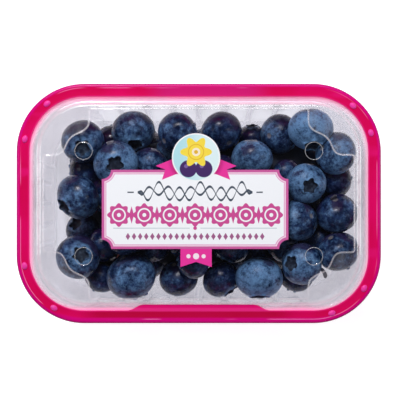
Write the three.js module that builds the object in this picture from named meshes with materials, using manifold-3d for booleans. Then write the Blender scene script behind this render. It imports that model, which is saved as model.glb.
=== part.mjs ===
import * as THREE from 'three';
import { mergeVertices } from 'three/addons/utils/BufferGeometryUtils.js';
import Module from 'manifold-3d';

// A shut punnet of blueberries, in millimetres, +Z up, standing on its tray at z = 0.
// A clear fluted tray holds the heap, a clear lid covers it, and a coloured rim clips both flanges together.
// A die-cut sticker lies on the lid.

// Driving dimensions
const LENGTH = 150;
const WIDTH = 98.6;
const HEIGHT = 42;
const SHEET = 0.6;
const GAP = 0.3;
const CORNER_RADIUS = 28;

// Levels, from the top of the lid down
const LID_SHEET = 0.5;
const LID_CORNER_TOP = HEIGHT - 1.6;
const RIM_TOP = HEIGHT - 3.2;
const RIM_PLATE = 1.1;
const LID_FLANGE_TOP = RIM_TOP - RIM_PLATE - GAP;
const TRAY_FLANGE_TOP = LID_FLANGE_TOP - LID_SHEET - GAP;

// The tray's wall, which leans out from the floor to the flange
const FLOOR_HALF = { x: 60.5, y: 34.5 };
const WALL_FOOT = { z: 2.5, grow: 2 };
const WALL_TOP = { z: TRAY_FLANGE_TOP - SHEET, grow: 8.9 };
const FLUTE_DEPTH = 1.0;
const FLUTE_FADE = 5;
const LONG_FLUTES = 8;
const SHORT_FLUTES = 4;
const TRAY_CORNER = 20;
const CORNER_OPENING = 0.5;
const CORNER_STEPS = 6;

const wasm = await Module();
wasm.setup();

// Booleans

function toSolid(geometry) {
  const bare = geometry.clone();
  bare.deleteAttribute('normal');
  bare.deleteAttribute('uv');
  const merged = mergeVertices(bare, 1e-4);
  const vertProperties = new Float32Array(merged.attributes.position.array);
  const triVerts = new Uint32Array(merged.index.array);
  return new wasm.Manifold(new wasm.Mesh({ numProp: 3, vertProperties, triVerts }));
}

function toGeometry(solid) {
  const mesh = solid.getMesh();
  const geometry = new THREE.BufferGeometry();
  geometry.setAttribute('position', new THREE.Float32BufferAttribute(mesh.vertProperties, 3));
  geometry.setIndex(new THREE.Uint32BufferAttribute(mesh.triVerts, 1));
  geometry.computeVertexNormals();
  return geometry;
}

function unite(solids) {
  return solids.reduce((whole, solid) => whole.add(solid));
}

// The largest body of a union, without loose scraps and without the skins of sealed hollows
function largestBody(solid) {
  const bodies = solid.decompose();
  bodies.sort((a, b) => b.volume() - a.volume());
  return bodies[0];
}

// Lofts

// A skin over rings of points that all have the same count.
// It closes on itself like a tyre, or is capped by a fan at each end.
function loft(rings, closed) {
  const count = rings[0].length;
  const positions = rings.flat().flatMap((p) => [p.x, p.y, p.z]);
  const index = [];
  const last = closed ? rings.length : rings.length - 1;
  for (let k = 0; k < last; k += 1) {
    const next = (k + 1) % rings.length;
    for (let i = 0; i < count; i += 1) {
      const j = (i + 1) % count;
      const [a, b] = [k * count + i, k * count + j];
      const [c, d] = [next * count + j, next * count + i];
      index.push(a, b, c, a, c, d);
    }
  }
  if (!closed) {
    addCap(rings[0], 0, positions, index, true);
    addCap(rings[rings.length - 1], (rings.length - 1) * count, positions, index, false);
  }
  const geometry = new THREE.BufferGeometry();
  geometry.setAttribute('position', new THREE.Float32BufferAttribute(positions, 3));
  geometry.setIndex(index);
  return turnedOut(geometry);
}

function addCap(ring, start, positions, index, reversed) {
  const centre = positions.length / 3;
  const middle = ring.reduce((sum, p) => sum.add(p), new THREE.Vector3()).divideScalar(ring.length);
  positions.push(middle.x, middle.y, middle.z);
  for (let i = 0; i < ring.length; i += 1) {
    const [a, b] = [start + i, start + ((i + 1) % ring.length)];
    index.push(centre, reversed ? b : a, reversed ? a : b);
  }
}

function signedVolume(geometry) {
  const p = geometry.attributes.position;
  const index = geometry.index.array;
  const corner = [new THREE.Vector3(), new THREE.Vector3(), new THREE.Vector3()];
  let sum = 0;
  for (let i = 0; i < index.length; i += 3) {
    corner.forEach((v, k) => v.fromBufferAttribute(p, index[i + k]));
    sum += corner[0].dot(corner[1].clone().cross(corner[2])) / 6;
  }
  return sum;
}

function turnedOut(geometry) {
  if (signedVolume(geometry) < 0) {
    geometry.index.array.reverse();
  }
  geometry.computeVertexNormals();
  return geometry;
}

// A rounded rectangle of half sizes hx and hy, anticlockwise from the right of the front side.
// sideX and sideY list how far along each long and short side its points stand, as shares from 0 to 1,
// and how far each is pushed in.
function roundedRing(hx, hy, radius, z, sideX, sideY, cornerSteps) {
  const ring = [];
  const [cx, cy] = [hx - radius, hy - radius];
  for (let side = 0; side < 4; side += 1) {
    const points = side % 2 === 0 ? sideY : sideX;
    const [run, reach] = side % 2 === 0 ? [cy, hx] : [cx, hy];
    const turn = new THREE.Matrix4().makeRotationZ((side * Math.PI) / 2);
    for (const { share, push } of points) {
      ring.push(new THREE.Vector3(reach - push, run * (2 * share - 1), z).applyMatrix4(turn));
    }
    for (let i = 0; i <= cornerSteps; i += 1) {
      const angle = (i / cornerSteps) * (Math.PI / 2);
      const [x, y] = [radius * Math.cos(angle), radius * Math.sin(angle)];
      ring.push(new THREE.Vector3(reach - radius + x, run + y, z).applyMatrix4(turn));
    }
  }
  return ring;
}

// Where one flute starts, is deep and ends, as shares of its pitch
const FLUTE_MARKS = { start: 0.28, deepFrom: 0.4, deepTo: 0.72, end: 0.84 };

function flutedSide(flutes, depth) {
  const { start, deepFrom, deepTo, end } = FLUTE_MARKS;
  const points = [];
  for (let i = 0; i < flutes; i += 1) {
    for (const [offset, push] of [[start, 0], [deepFrom, depth], [deepTo, depth], [end, 0]]) {
      points.push({ share: (i + offset) / flutes, push });
    }
  }
  return points;
}

// Tray

function trayRing(grow, z, fluteDepth) {
  const [longSide, shortSide] = [LONG_FLUTES, SHORT_FLUTES].map((n) => flutedSide(n, fluteDepth));
  const [hx, hy] = [FLOOR_HALF.x + grow, FLOOR_HALF.y + grow];
  return roundedRing(hx, hy, trayRadius(grow), z, longSide, shortSide, CORNER_STEPS);
}

// The corners open out as the wall leans out
function trayRadius(grow) {
  return TRAY_CORNER + CORNER_OPENING * grow;
}

function wallGrow(z) {
  const share = (z - WALL_FOOT.z) / (WALL_TOP.z - WALL_FOOT.z);
  return WALL_FOOT.grow + share * (WALL_TOP.grow - WALL_FOOT.grow);
}

const KICK_UP = { height: 1.2, inner: -11, outer: -9.5 };
const TRAY_FLANGE = 12.6;

function makeTray() {
  const fluteTop = WALL_TOP.z - FLUTE_FADE;
  const outside = [
    trayRing(KICK_UP.inner, KICK_UP.height, 0),
    trayRing(KICK_UP.outer, 0, 0),
    trayRing(0, 0, 0),
    trayRing(WALL_FOOT.grow, WALL_FOOT.z, FLUTE_DEPTH),
    trayRing(wallGrow(fluteTop), fluteTop, FLUTE_DEPTH),
    trayRing(WALL_TOP.grow, WALL_TOP.z, 0),
    trayRing(TRAY_FLANGE, WALL_TOP.z, 0),
  ];
  const inside = [
    trayRing(TRAY_FLANGE, TRAY_FLANGE_TOP, 0),
    trayRing(WALL_TOP.grow - SHEET, TRAY_FLANGE_TOP, 0),
    trayRing(wallGrow(fluteTop) - SHEET, fluteTop, FLUTE_DEPTH),
    trayRing(WALL_FOOT.grow - SHEET, WALL_FOOT.z, FLUTE_DEPTH),
    trayRing(-SHEET, SHEET, 0),
    trayRing(KICK_UP.outer, SHEET, 0),
    trayRing(KICK_UP.inner, KICK_UP.height + SHEET, 0),
  ];
  return loft([...outside, ...inside], false);
}

// Rim: an upside-down channel with a clip bead inside its skirt, and a pad at the middle of its front

const RIM_WALL = 1.1;
const RIM_SKIRT = { drop: 8, footInset: 0.3, footHeight: 1 };
const RIM_BAND = 5.35;
const RIM_ROUND = 1.2;
const ROUND_MIDDLE = 0.3 * RIM_ROUND;
const RIM_CORNER_STEPS = 9;
const BEAD = { reach: 0.9, height: 1.4 };
const PAD = { half: 29, flat: 23, reach: 2.4 };
const NUB = { radius: 1.5, height: 0.6, inset: 3, sunk: 0.1 };
const CORNERS = [
  { sx: 1, sy: 1, nubs: [18, 49] },
  { sx: -1, sy: 1, nubs: [12, 52] },
  { sx: -1, sy: -1, nubs: [10, 60] },
  { sx: 1, sy: -1, nubs: [33, 72] },
];

function rimRing(inset, z, pad) {
  const run = LENGTH / 2 - CORNER_RADIUS;
  const marks = [-PAD.half, -PAD.flat, PAD.flat, PAD.half];
  const longSide = marks.map((x) => ({ share: 0.5 + x / (2 * run), push: 0 }));
  const shortSide = [{ share: 0.5, push: 0 }];
  const radius = CORNER_RADIUS - inset;
  const [hx, hy] = [LENGTH / 2 - inset, WIDTH / 2 - inset];
  const ring = roundedRing(hx, hy, radius, z, longSide, shortSide, RIM_CORNER_STEPS);
  for (const point of ring) {
    if (pad && point.y < 0 && Math.round(Math.abs(point.x)) === PAD.flat) {
      point.y += PAD.reach;
    }
  }
  return ring;
}

function makeRim() {
  const skirtFoot = RIM_TOP - RIM_SKIRT.drop;
  const plateFoot = RIM_TOP - RIM_PLATE;
  const band = loft([
    rimRing(RIM_SKIRT.footInset, skirtFoot, false),
    rimRing(0, skirtFoot + RIM_SKIRT.footHeight, false),
    rimRing(0, RIM_TOP - RIM_ROUND, false),
    rimRing(ROUND_MIDDLE, RIM_TOP - ROUND_MIDDLE, false),
    rimRing(RIM_ROUND, RIM_TOP, false),
    rimRing(RIM_BAND, RIM_TOP, true),
    rimRing(RIM_BAND, plateFoot, true),
    rimRing(RIM_WALL, plateFoot, false),
    rimRing(RIM_WALL, skirtFoot + BEAD.height, false),
    rimRing(RIM_WALL + BEAD.reach, skirtFoot + BEAD.height / 2, false),
    rimRing(RIM_WALL, skirtFoot, false),
  ], true);
  return toGeometry(unite([toSolid(band), ...makeNubs()]));
}

// Two low round nubs at each corner, by their angles from the long axis
function makeNubs() {
  const nubs = [];
  for (const { sx, sy, nubs: angles } of CORNERS) {
    for (const degrees of angles) {
      const angle = THREE.MathUtils.degToRad(degrees);
      const reach = CORNER_RADIUS - NUB.inset;
      const dome = new THREE.SphereGeometry(NUB.radius, 6, 4);
      dome.rotateX(Math.PI / 2);
      dome.scale(1, 1, NUB.height / NUB.radius);
      dome.translate(
        sx * (LENGTH / 2 - CORNER_RADIUS + reach * Math.cos(angle)),
        sy * (WIDTH / 2 - CORNER_RADIUS + reach * Math.sin(angle)),
        RIM_TOP - NUB.sunk,
      );
      nubs.push(toSolid(dome));
    }
  }
  return nubs;
}

// Lid: a flange, a panel with lower corners, and four vents

const LID_FLANGE_HALF = { x: 72.9, y: 47.2 };
const LID_FLANGE_RADIUS = 26;
const PANEL_HALF = { x: 65.3, y: 40.5 };
const PANEL_RADIUS = 19.5;
const VENT = { x: 47.2, y: 21.6, radius: 3.5 };
const STEP = { x: 45.6, y: 20.6, scoop: 8.3, leadX: 1.4, leadY: 2 };
const SCOOP_ANGLES = [8, 27, 45, 63, 82];
const CUT_PAST = 1;

function roundedShape(hx, hy, radius) {
  const shape = new THREE.Shape();
  shape.absarc(hx - radius, hy - radius, radius, 0, Math.PI / 2);
  shape.absarc(radius - hx, hy - radius, radius, Math.PI / 2, Math.PI);
  shape.absarc(radius - hx, radius - hy, radius, Math.PI, 1.5 * Math.PI);
  shape.absarc(hx - radius, radius - hy, radius, 1.5 * Math.PI, 2 * Math.PI);
  return shape;
}

// A quarter of the raised panel's outline, from the short side to the long one.
// It runs in along the step, round the vent and out again.
function stepPoints(inset) {
  const scoop = STEP.scoop - inset;
  const points = [new THREE.Vector2(PANEL_HALF.x - inset, STEP.y - inset)];
  points.push(new THREE.Vector2(VENT.x + scoop + STEP.leadX, STEP.y - inset));
  for (const degrees of SCOOP_ANGLES) {
    const angle = THREE.MathUtils.degToRad(degrees);
    points.push(new THREE.Vector2(VENT.x + scoop * Math.cos(angle), VENT.y + scoop * Math.sin(angle)));
  }
  points.push(new THREE.Vector2(STEP.x - inset, VENT.y + scoop + STEP.leadY));
  points.push(new THREE.Vector2(STEP.x - inset, PANEL_HALF.y - inset));
  return points;
}

function panelShape(inset) {
  const quarter = stepPoints(inset);
  const turned = (sx, sy, points) => points.map((p) => new THREE.Vector2(sx * p.x, sy * p.y));
  const back = [...quarter].reverse();
  return new THREE.Shape([
    ...turned(1, 1, quarter),
    ...turned(-1, 1, back),
    ...turned(-1, -1, quarter),
    ...turned(1, -1, back),
  ]);
}

function slab(shape, bottom, top, curveSegments = 8) {
  const geometry = new THREE.ExtrudeGeometry(shape, {
    depth: top - bottom,
    bevelEnabled: false,
    curveSegments,
  });
  geometry.translate(0, 0, bottom);
  return toSolid(geometry);
}

function makeLid() {
  const foot = LID_FLANGE_TOP - LID_SHEET;
  const below = foot - CUT_PAST;
  const inset = LID_SHEET;
  const outer = unite([
    slab(roundedShape(LID_FLANGE_HALF.x, LID_FLANGE_HALF.y, LID_FLANGE_RADIUS), foot, LID_FLANGE_TOP),
    slab(roundedShape(PANEL_HALF.x, PANEL_HALF.y, PANEL_RADIUS), foot, LID_CORNER_TOP),
    slab(panelShape(0), foot, HEIGHT),
  ]);
  const half = { x: PANEL_HALF.x - inset, y: PANEL_HALF.y - inset };
  const cavity = unite([
    slab(roundedShape(half.x, half.y, PANEL_RADIUS - inset), below, LID_CORNER_TOP - LID_SHEET),
    slab(panelShape(inset), below, HEIGHT - LID_SHEET),
  ]);
  const vents = [];
  for (const { sx, sy } of CORNERS) {
    const vent = new THREE.Shape();
    vent.absarc(sx * VENT.x, sy * VENT.y, VENT.radius, 0, 2 * Math.PI);
    vents.push(slab(vent, below, HEIGHT + CUT_PAST));
  }
  return toGeometry(outer.subtract(cavity).subtract(unite(vents)));
}

// Sticker: a ticket shape with a round badge, two ribbon ends and a tab, cut from one sheet

const STICKER = { x: -1.5, y: -2.4, halfX: 38.2, halfY: 16.2, notch: 3.8, thickness: 0.3, gap: 0.05 };
const BADGE = { x: -1.1, y: 18.9, radius: 9.9 };
const RIBBON = { reach: 16.6, top: 18.1, near: 9.6, slope: 2.7, notchX: 12.6, notchY: 13.9, footX: 14, footY: 9.7 };
const TAB = { halfX: 6.4, drop: 7.4, notch: 2.1, lap: 1 };

function ticketShape() {
  const { halfX, halfY, notch } = STICKER;
  const shape = new THREE.Shape();
  shape.moveTo(halfX, notch - halfY);
  shape.lineTo(halfX, halfY - notch);
  shape.absarc(halfX, halfY, notch, 1.5 * Math.PI, Math.PI, true);
  shape.lineTo(notch - halfX, halfY);
  shape.absarc(-halfX, halfY, notch, 2 * Math.PI, 1.5 * Math.PI, true);
  shape.lineTo(-halfX, notch - halfY);
  shape.absarc(-halfX, -halfY, notch, 0.5 * Math.PI, 0, true);
  shape.lineTo(halfX - notch, -halfY);
  shape.absarc(halfX, -halfY, notch, Math.PI, 0.5 * Math.PI, true);
  return shape;
}

function polygon(points) {
  return new THREE.Shape(points.map(([x, y]) => new THREE.Vector2(x, y)));
}

// One ribbon end, from behind the badge out to its notched tip
function ribbonShape(side) {
  const { reach, top, near, slope, notchX, notchY, footX, footY } = RIBBON;
  const tip = [[footX, footY], [notchX, notchY], [reach, top - slope]];
  const points = [[0, footY], ...tip, [near, top], [0, top]];
  const placed = points.map(([x, y]) => [BADGE.x + side * x, y]);
  return polygon(side > 0 ? placed : placed.reverse());
}

// The swallow-tailed tab below the ticket
function tabShape() {
  const [left, right] = [BADGE.x - TAB.halfX, BADGE.x + TAB.halfX];
  const [high, low] = [STICKER.y - STICKER.halfY + TAB.lap, STICKER.y - STICKER.halfY - TAB.drop];
  return polygon([[left, low], [BADGE.x, low + TAB.notch], [right, low], [right, high], [left, high]]);
}

function makeSticker() {
  const bottom = HEIGHT + STICKER.gap;
  const top = bottom + STICKER.thickness;
  const badge = new THREE.Shape();
  badge.absarc(BADGE.x, BADGE.y, BADGE.radius, 0, 2 * Math.PI);
  return toGeometry(unite([
    slab(ticketShape(), bottom, top, 5).translate([STICKER.x, STICKER.y, 0]),
    slab(badge, bottom, top, 12),
    slab(ribbonShape(-1), bottom, top),
    slab(ribbonShape(1), bottom, top),
    slab(tabShape(), bottom, top),
  ]));
}

// Blueberries: a settled heap of berries on a smaller core

// Berries seen from above: x, y, width, height, then the way the crown faces,
// as its compass angle from +X and its tilt from straight up, in degrees.
// A tilt past 90 has the crown on the hidden side.
const SEEN_BERRIES = [
  [-48.1, 25.7, 17.2, 29.3, -90, 22],
  [-50.1, 2.7, 18.0, 30.6, 215, 62],
  [-27.3, 30.3, 17.2, 24.4, -85, 52],
  [-34.3, 16.8, 18.0, 31.1, -90, 6],
  [-20.4, 16.0, 14.8, 25.2, 60, 130],
  [-11.3, 21.7, 14.0, 16.8, 150, 140],
  [-8.6, 29.2, 16.8, 31.6, 30, 120],
  [9.4, 30.0, 16.8, 25.1, 123, 129],
  [22.1, 18.7, 16.4, 28.5, 80, 125],
  [33.8, 29.1, 16.0, 21.5, 10, 140],
  [46.4, 30.7, 18.2, 31.0, -85, 60],
  [57.1, 20.9, 17.2, 29.5, -20, 125],
  [44.5, 8.2, 16.0, 32.0, -40, 14],
  [41.1, -7.0, 16.4, 30.8, 200, 130],
  [57.3, -4.1, 16.8, 30.1, -80, 130],
  [57.9, -19.9, 16.8, 31.3, -60, 118],
  [42.6, -25.0, 16.6, 31.7, 175, 40],
  [25.1, -30.9, 18.8, 30.1, -90, 76],
  [9.3, -31.7, 15.2, 24.9, -53, 78],
  [-2.0, -23.4, 14.8, 32.5, 170, 100],
  [-8.4, -31.2, 15.8, 23.0, -70, 125],
  [-28.0, -30.9, 20.0, 30.0, -65, 108],
  [-50.1, -22.2, 17.4, 31.4, 40, 16],
  [-19.2, -18.2, 13.2, 22.5, 100, 120],
  [-47.3, 14.0, 14.8, 19.7, 180, 110],
  [-36.7, 26.0, 14.8, 13.5, 90, 120],
  [22.4, 28.0, 11.6, 15.0, 90, 72],
  [58.0, 10.2, 15.6, 21.0, 0, 115],
  [36.5, 12.7, 11.6, 22.7, 120, 130],
  [40.9, -30.5, 14.0, 18.4, -100, 110],
  [-41.1, -30.8, 13.6, 19.2, -120, 112],
  [-48.5, -11.0, 14.8, 15.5, 140, 40],
  [-39.4, -17.3, 14.0, 22.5, 200, 135],
  [26.3, -20.1, 14.8, 13.5, 60, 118],
  [35.3, -17.4, 14.0, 21.8, 20, 125],
];
// Berries under the sticker and between the others, in rows: y, starting height, width and the x of each
const COVERED_ROWS = [
  [0.3, 28, 16.2, [-33, -16.8, 0.1, 17, 30.5]],
  [15.6, 21, 15.2, [-1.5, 10.5]],
  [-10.8, 28, 15.4, [-25.8, -9.4, 7.9]],
  [21.5, 19, 15, [33.5]],
];
// Berries on the floor, in staggered rows: y and count
const FLOOR_ROWS = [[-25.5, 7], [-8.7, 6], [8.7, 7], [25.5, 6]];
const FLOOR_PITCH = 17.6;
const FLOOR_START = 9.5;
const FLOOR_SCATTER = 1;
const FLOOR_WIDTH = { least: 16, spread: 2.4 };
const FLATNESS = 0.86;
const SEED = 7;

const BERRY_FLOOR = 2.2;
const BERRY_LID = HEIGHT - 2.5;
const SETTLE_STEPS = 260;
const SINK = 0.12;
const TOUCH = 0.955;
const FIRM = 0.93;
const HIDDEN_INSET = 4;

function makeRandom(seed) {
  let state = seed;
  return () => {
    state = (state * 16807) % 2147483647;
    return state / 2147483647;
  };
}

function startBerries(random) {
  const berries = [];
  const add = (x, y, z, width, fixed, azimuth, tilt) => {
    berries.push({ x, y, z, r: width / 2, home: fixed ? { x, y, z } : null, azimuth, tilt });
  };
  for (const [x, y, width, z, azimuth, tilt] of SEEN_BERRIES) {
    add(x, y, z, width, true, azimuth, tilt);
  }
  for (const [y, z, width, places] of COVERED_ROWS) {
    for (const x of places) {
      add(x, y, z, width, false, 360 * random(), 180 * random());
    }
  }
  for (const [y, count] of FLOOR_ROWS) {
    for (let i = 0; i < count; i += 1) {
      const x = (i - (count - 1) / 2) * FLOOR_PITCH + FLOOR_SCATTER * (2 * random() - 1);
      const shifted = y + FLOOR_SCATTER * (2 * random() - 1);
      const width = FLOOR_WIDTH.least + FLOOR_WIDTH.spread * random();
      add(x, shifted, FLOOR_START, width, false, 360 * random(), 180 * random());
    }
  }
  return berries;
}

// How far the heap may reach at height z, inside the flutes
function heapHalf(z) {
  const grow = wallGrow(z) - FLUTE_DEPTH - SHEET - GAP;
  return { x: FLOOR_HALF.x + grow, y: FLOOR_HALF.y + grow, radius: trayRadius(wallGrow(z)) };
}

function pushApart(berries) {
  for (let i = 0; i < berries.length; i += 1) {
    const a = berries[i];
    for (let j = i + 1; j < berries.length; j += 1) {
      const b = berries[j];
      const [dx, dy, dz] = [b.x - a.x, b.y - a.y, b.z - a.z];
      const need = (a.r + b.r) * TOUCH;
      const squared = dx * dx + dy * dy + dz * dz;
      if (squared < need * need) {
        const distance = Math.sqrt(squared);
        const push = (0.5 * (need - distance)) / distance;
        a.x -= dx * push;
        a.y -= dy * push;
        a.z -= dz * push;
        b.x += dx * push;
        b.y += dy * push;
        b.z += dz * push;
      }
    }
  }
}

function keepInside(b) {
  b.z = Math.min(Math.max(b.z, BERRY_FLOOR + FIRM * b.r), BERRY_LID - FIRM * b.r);
  const half = heapHalf(b.z);
  const inset = b.home ? b.r : b.r + HIDDEN_INSET;
  const [hx, hy] = [half.x - inset, half.y - inset];
  const radius = half.radius - b.r;
  let [ax, ay] = [Math.abs(b.x), Math.abs(b.y)];
  const [ex, ey] = [ax - hx + radius, ay - hy + radius];
  if (ex > 0 && ey > 0) {
    const reach = Math.max(Math.sqrt(ex * ex + ey * ey), radius);
    ax = hx - radius + (ex * radius) / reach;
    ay = hy - radius + (ey * radius) / reach;
  }
  b.x = Math.sign(b.x) * Math.min(ax, hx);
  b.y = Math.sign(b.y) * Math.min(ay, hy);
}

// Berries sink, touch and push each other apart. Those seen from above stay at their places.
function settle(berries) {
  for (let step = 0; step < SETTLE_STEPS; step += 1) {
    for (const b of berries) {
      b.z -= SINK * (1 - step / SETTLE_STEPS);
    }
    pushApart(berries);
    for (const b of berries) {
      Object.assign(b, b.home);
      keepInside(b);
    }
  }
  return berries;
}

const BERRY_SIDES = 9;
const BERRY_RINGS = [-44, -2, 40];

const CROWN = { radius: 0.36, height: 0.92, pit: 0.66 };

// Half section of a berry of radius 1 from its stem end to the pit of its crown
function berryProfile() {
  const section = [[0, -FLATNESS]];
  for (const degrees of BERRY_RINGS) {
    const angle = THREE.MathUtils.degToRad(degrees);
    section.push([Math.cos(angle), FLATNESS * Math.sin(angle)]);
  }
  section.push([CROWN.radius, CROWN.height * FLATNESS], [0, CROWN.pit * FLATNESS]);
  return section.map(([x, y]) => new THREE.Vector2(x, y));
}

function crownDirection(berry) {
  const [azimuth, tilt] = [berry.azimuth, berry.tilt].map(THREE.MathUtils.degToRad);
  return new THREE.Vector3(
    Math.sin(tilt) * Math.cos(azimuth),
    Math.sin(tilt) * Math.sin(azimuth),
    Math.cos(tilt),
  );
}

function berrySolid(berry) {
  const geometry = new THREE.LatheGeometry(berryProfile(), BERRY_SIDES);
  geometry.scale(berry.r, berry.r, berry.r);
  const up = new THREE.Vector3(0, 1, 0);
  geometry.applyQuaternion(new THREE.Quaternion().setFromUnitVectors(up, crownDirection(berry)));
  geometry.translate(berry.x, berry.y, berry.z);
  return toSolid(geometry);
}

function plainRing(half, z) {
  const middle = [{ share: 0.5, push: 0 }];
  return roundedRing(half.x, half.y, half.radius, z, middle, middle, CORNER_STEPS);
}

const CORE = { bottom: 8, top: 21, inset: 11, chamfer: 4, stalk: 2.2, stalksFrom: 20 };

function makeCore() {
  const levels = [
    [CORE.bottom, CORE.chamfer],
    [CORE.bottom + CORE.chamfer, 0],
    [CORE.top - CORE.chamfer, 0],
    [CORE.top, CORE.chamfer],
  ];
  return toSolid(loft(levels.map(([z, extra]) => {
    const half = heapHalf(z);
    const inset = CORE.inset + extra;
    return plainRing({ x: half.x - inset, y: half.y - inset, radius: TRAY_CORNER - CORE.inset }, z);
  }), false));
}

// A short stalk from the middle of a berry into the core, hidden behind the berry
function makeStalk(berry) {
  const half = heapHalf(CORE.bottom);
  const clamp = (value, limit) => Math.min(Math.max(value, -limit), limit);
  const inset = CORE.inset + CORE.chamfer + CORE.stalk;
  const foot = new THREE.Vector3(
    clamp(berry.x, half.x - inset),
    clamp(berry.y, half.y - inset),
    Math.min(Math.max(berry.z, CORE.bottom + CORE.chamfer), CORE.top - CORE.chamfer),
  );
  const head = new THREE.Vector3(berry.x, berry.y, berry.z);
  const line = head.clone().sub(foot);
  const geometry = new THREE.CylinderGeometry(CORE.stalk, CORE.stalk, line.length() + 1, 5);
  const up = new THREE.Vector3(0, 1, 0);
  geometry.applyQuaternion(new THREE.Quaternion().setFromUnitVectors(up, line.normalize()));
  const middle = head.add(foot).divideScalar(2);
  geometry.translate(middle.x, middle.y, middle.z);
  return toSolid(geometry);
}

// The free space inside the tray and under the lid, which the berries press against
const NECK_FOOT = TRAY_FLANGE_TOP - 7;

function makeInside() {
  const inset = LID_SHEET + GAP;
  const neck = { x: PANEL_HALF.x - inset, y: PANEL_HALF.y - inset, radius: PANEL_RADIUS - inset };
  const levels = [
    [BERRY_FLOOR, heapHalf(BERRY_FLOOR)],
    [NECK_FOOT, heapHalf(NECK_FOOT)],
    [TRAY_FLANGE_TOP, neck],
    [LID_CORNER_TOP - inset, neck],
  ];
  return toSolid(loft(levels.map(([z, half]) => plainRing(half, z)), false));
}

function makeBerries() {
  const berries = settle(startBerries(makeRandom(SEED)));
  const high = berries.filter((berry) => berry.z > CORE.stalksFrom);
  const heap = unite([makeCore(), ...high.map(makeStalk), ...berries.map(berrySolid)]);
  return toGeometry(largestBody(heap.intersect(makeInside())));
}

// Materials

function clearPlastic() {
  return new THREE.MeshStandardMaterial({
    color: 0xe4e8ee,
    roughness: 0.06,
    metalness: 0,
    transparent: true,
    opacity: 0.3,
  });
}

const hotPink = new THREE.MeshStandardMaterial({ color: 0xd5035a, roughness: 0.3, metalness: 0 });
const printedPaper = new THREE.MeshStandardMaterial({ color: 0xeaf0f8, roughness: 0.45, metalness: 0 });
const berrySkin = new THREE.MeshStandardMaterial({ color: 0x39486b, roughness: 0.55, metalness: 0 });

function named(name, geometry, material) {
  const mesh = new THREE.Mesh(geometry, material);
  mesh.name = name;
  return mesh;
}

const punnet = new THREE.Group();
punnet.add(
  named('tray', makeTray(), clearPlastic()),
  named('rim', makeRim(), hotPink),
  named('lid', makeLid(), clearPlastic()),
  named('sticker', makeSticker(), printedPaper),
  named('berries', makeBerries(), berrySkin),
);

export default punnet;
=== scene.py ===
import math

import bmesh
import bpy
from mathutils import Matrix, Vector, noise


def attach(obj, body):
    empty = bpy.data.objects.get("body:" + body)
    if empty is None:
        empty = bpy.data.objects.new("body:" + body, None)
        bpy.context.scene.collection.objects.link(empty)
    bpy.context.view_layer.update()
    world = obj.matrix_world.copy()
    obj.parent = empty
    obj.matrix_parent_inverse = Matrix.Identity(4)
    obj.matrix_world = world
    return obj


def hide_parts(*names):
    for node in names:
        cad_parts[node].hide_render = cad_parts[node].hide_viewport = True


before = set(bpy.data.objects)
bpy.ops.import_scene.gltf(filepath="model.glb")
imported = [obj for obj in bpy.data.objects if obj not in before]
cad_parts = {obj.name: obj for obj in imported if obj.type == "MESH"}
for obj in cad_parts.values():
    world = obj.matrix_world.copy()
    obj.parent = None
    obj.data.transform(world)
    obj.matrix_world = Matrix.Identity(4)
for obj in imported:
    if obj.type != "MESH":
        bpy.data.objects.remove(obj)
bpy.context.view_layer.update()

# The studio: a white lit table under one large softbox behind the punnet with a small lamp before it, a
# softer box in front and a strip at each end. None hangs straight above, so the lid mirrors none of them.
MM = 0.001
PIXEL = 0.411 * MM
IMAGE_PIXELS = 400
SENSOR = 36.0
CAMERA_DISTANCE = 0.9
LOOK_AT = Vector((0.51, 1.44, 38.8)) * MM
BACKDROP_LIGHT = 0.13
BACKDROP_SEEN = 0.80

camera_data = bpy.data.cameras.new("camera")
camera_data.sensor_width = SENSOR
camera_data.lens = SENSOR * CAMERA_DISTANCE / (IMAGE_PIXELS * PIXEL)
camera_data.clip_start = 0.05
camera = bpy.data.objects.new("camera", camera_data)
camera.location = LOOK_AT + Vector((0, 0, CAMERA_DISTANCE))
bpy.context.scene.collection.objects.link(camera)
bpy.context.scene.camera = camera


def softbox(name, place, width, depth, watts, colour):
    lamp = bpy.data.lights.new(name, "AREA")
    lamp.shape = "RECTANGLE"
    lamp.size = width
    lamp.size_y = depth
    lamp.energy = watts
    lamp.color = colour
    holder = bpy.data.objects.new(name, lamp)
    holder.location = place
    holder.rotation_euler = (-Vector(place)).to_track_quat("-Z", "Y").to_euler()
    bpy.context.scene.collection.objects.link(holder)


softbox("back_softbox", (-0.08, 0.56, 0.74), 0.62, 0.36, 3.5, (1.0, 0.99, 1.0))
softbox("back_lamp", (-0.10, 0.46, 0.62), 0.10, 0.08, 2.4, (1.0, 1.0, 1.0))
softbox("front_softbox", (0.10, -0.75, 0.75), 0.90, 0.45, 0.7, (0.98, 0.97, 1.0))
softbox("left_strip", (-0.85, 0.05, 0.55), 0.22, 0.9, 1.4, (1.0, 1.0, 1.0))
softbox("right_strip", (0.85, 0.05, 0.55), 0.22, 0.9, 1.4, (1.0, 1.0, 1.0))


def ink(red, green, blue):
    """A linear colour from the three 8-bit values that it shows as."""
    parts = [c / 255 for c in (red, green, blue)]
    return (*[c / 12.92 if c < 0.04045 else ((c + 0.055) / 1.055) ** 2.4 for c in parts], 1.0)


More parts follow.
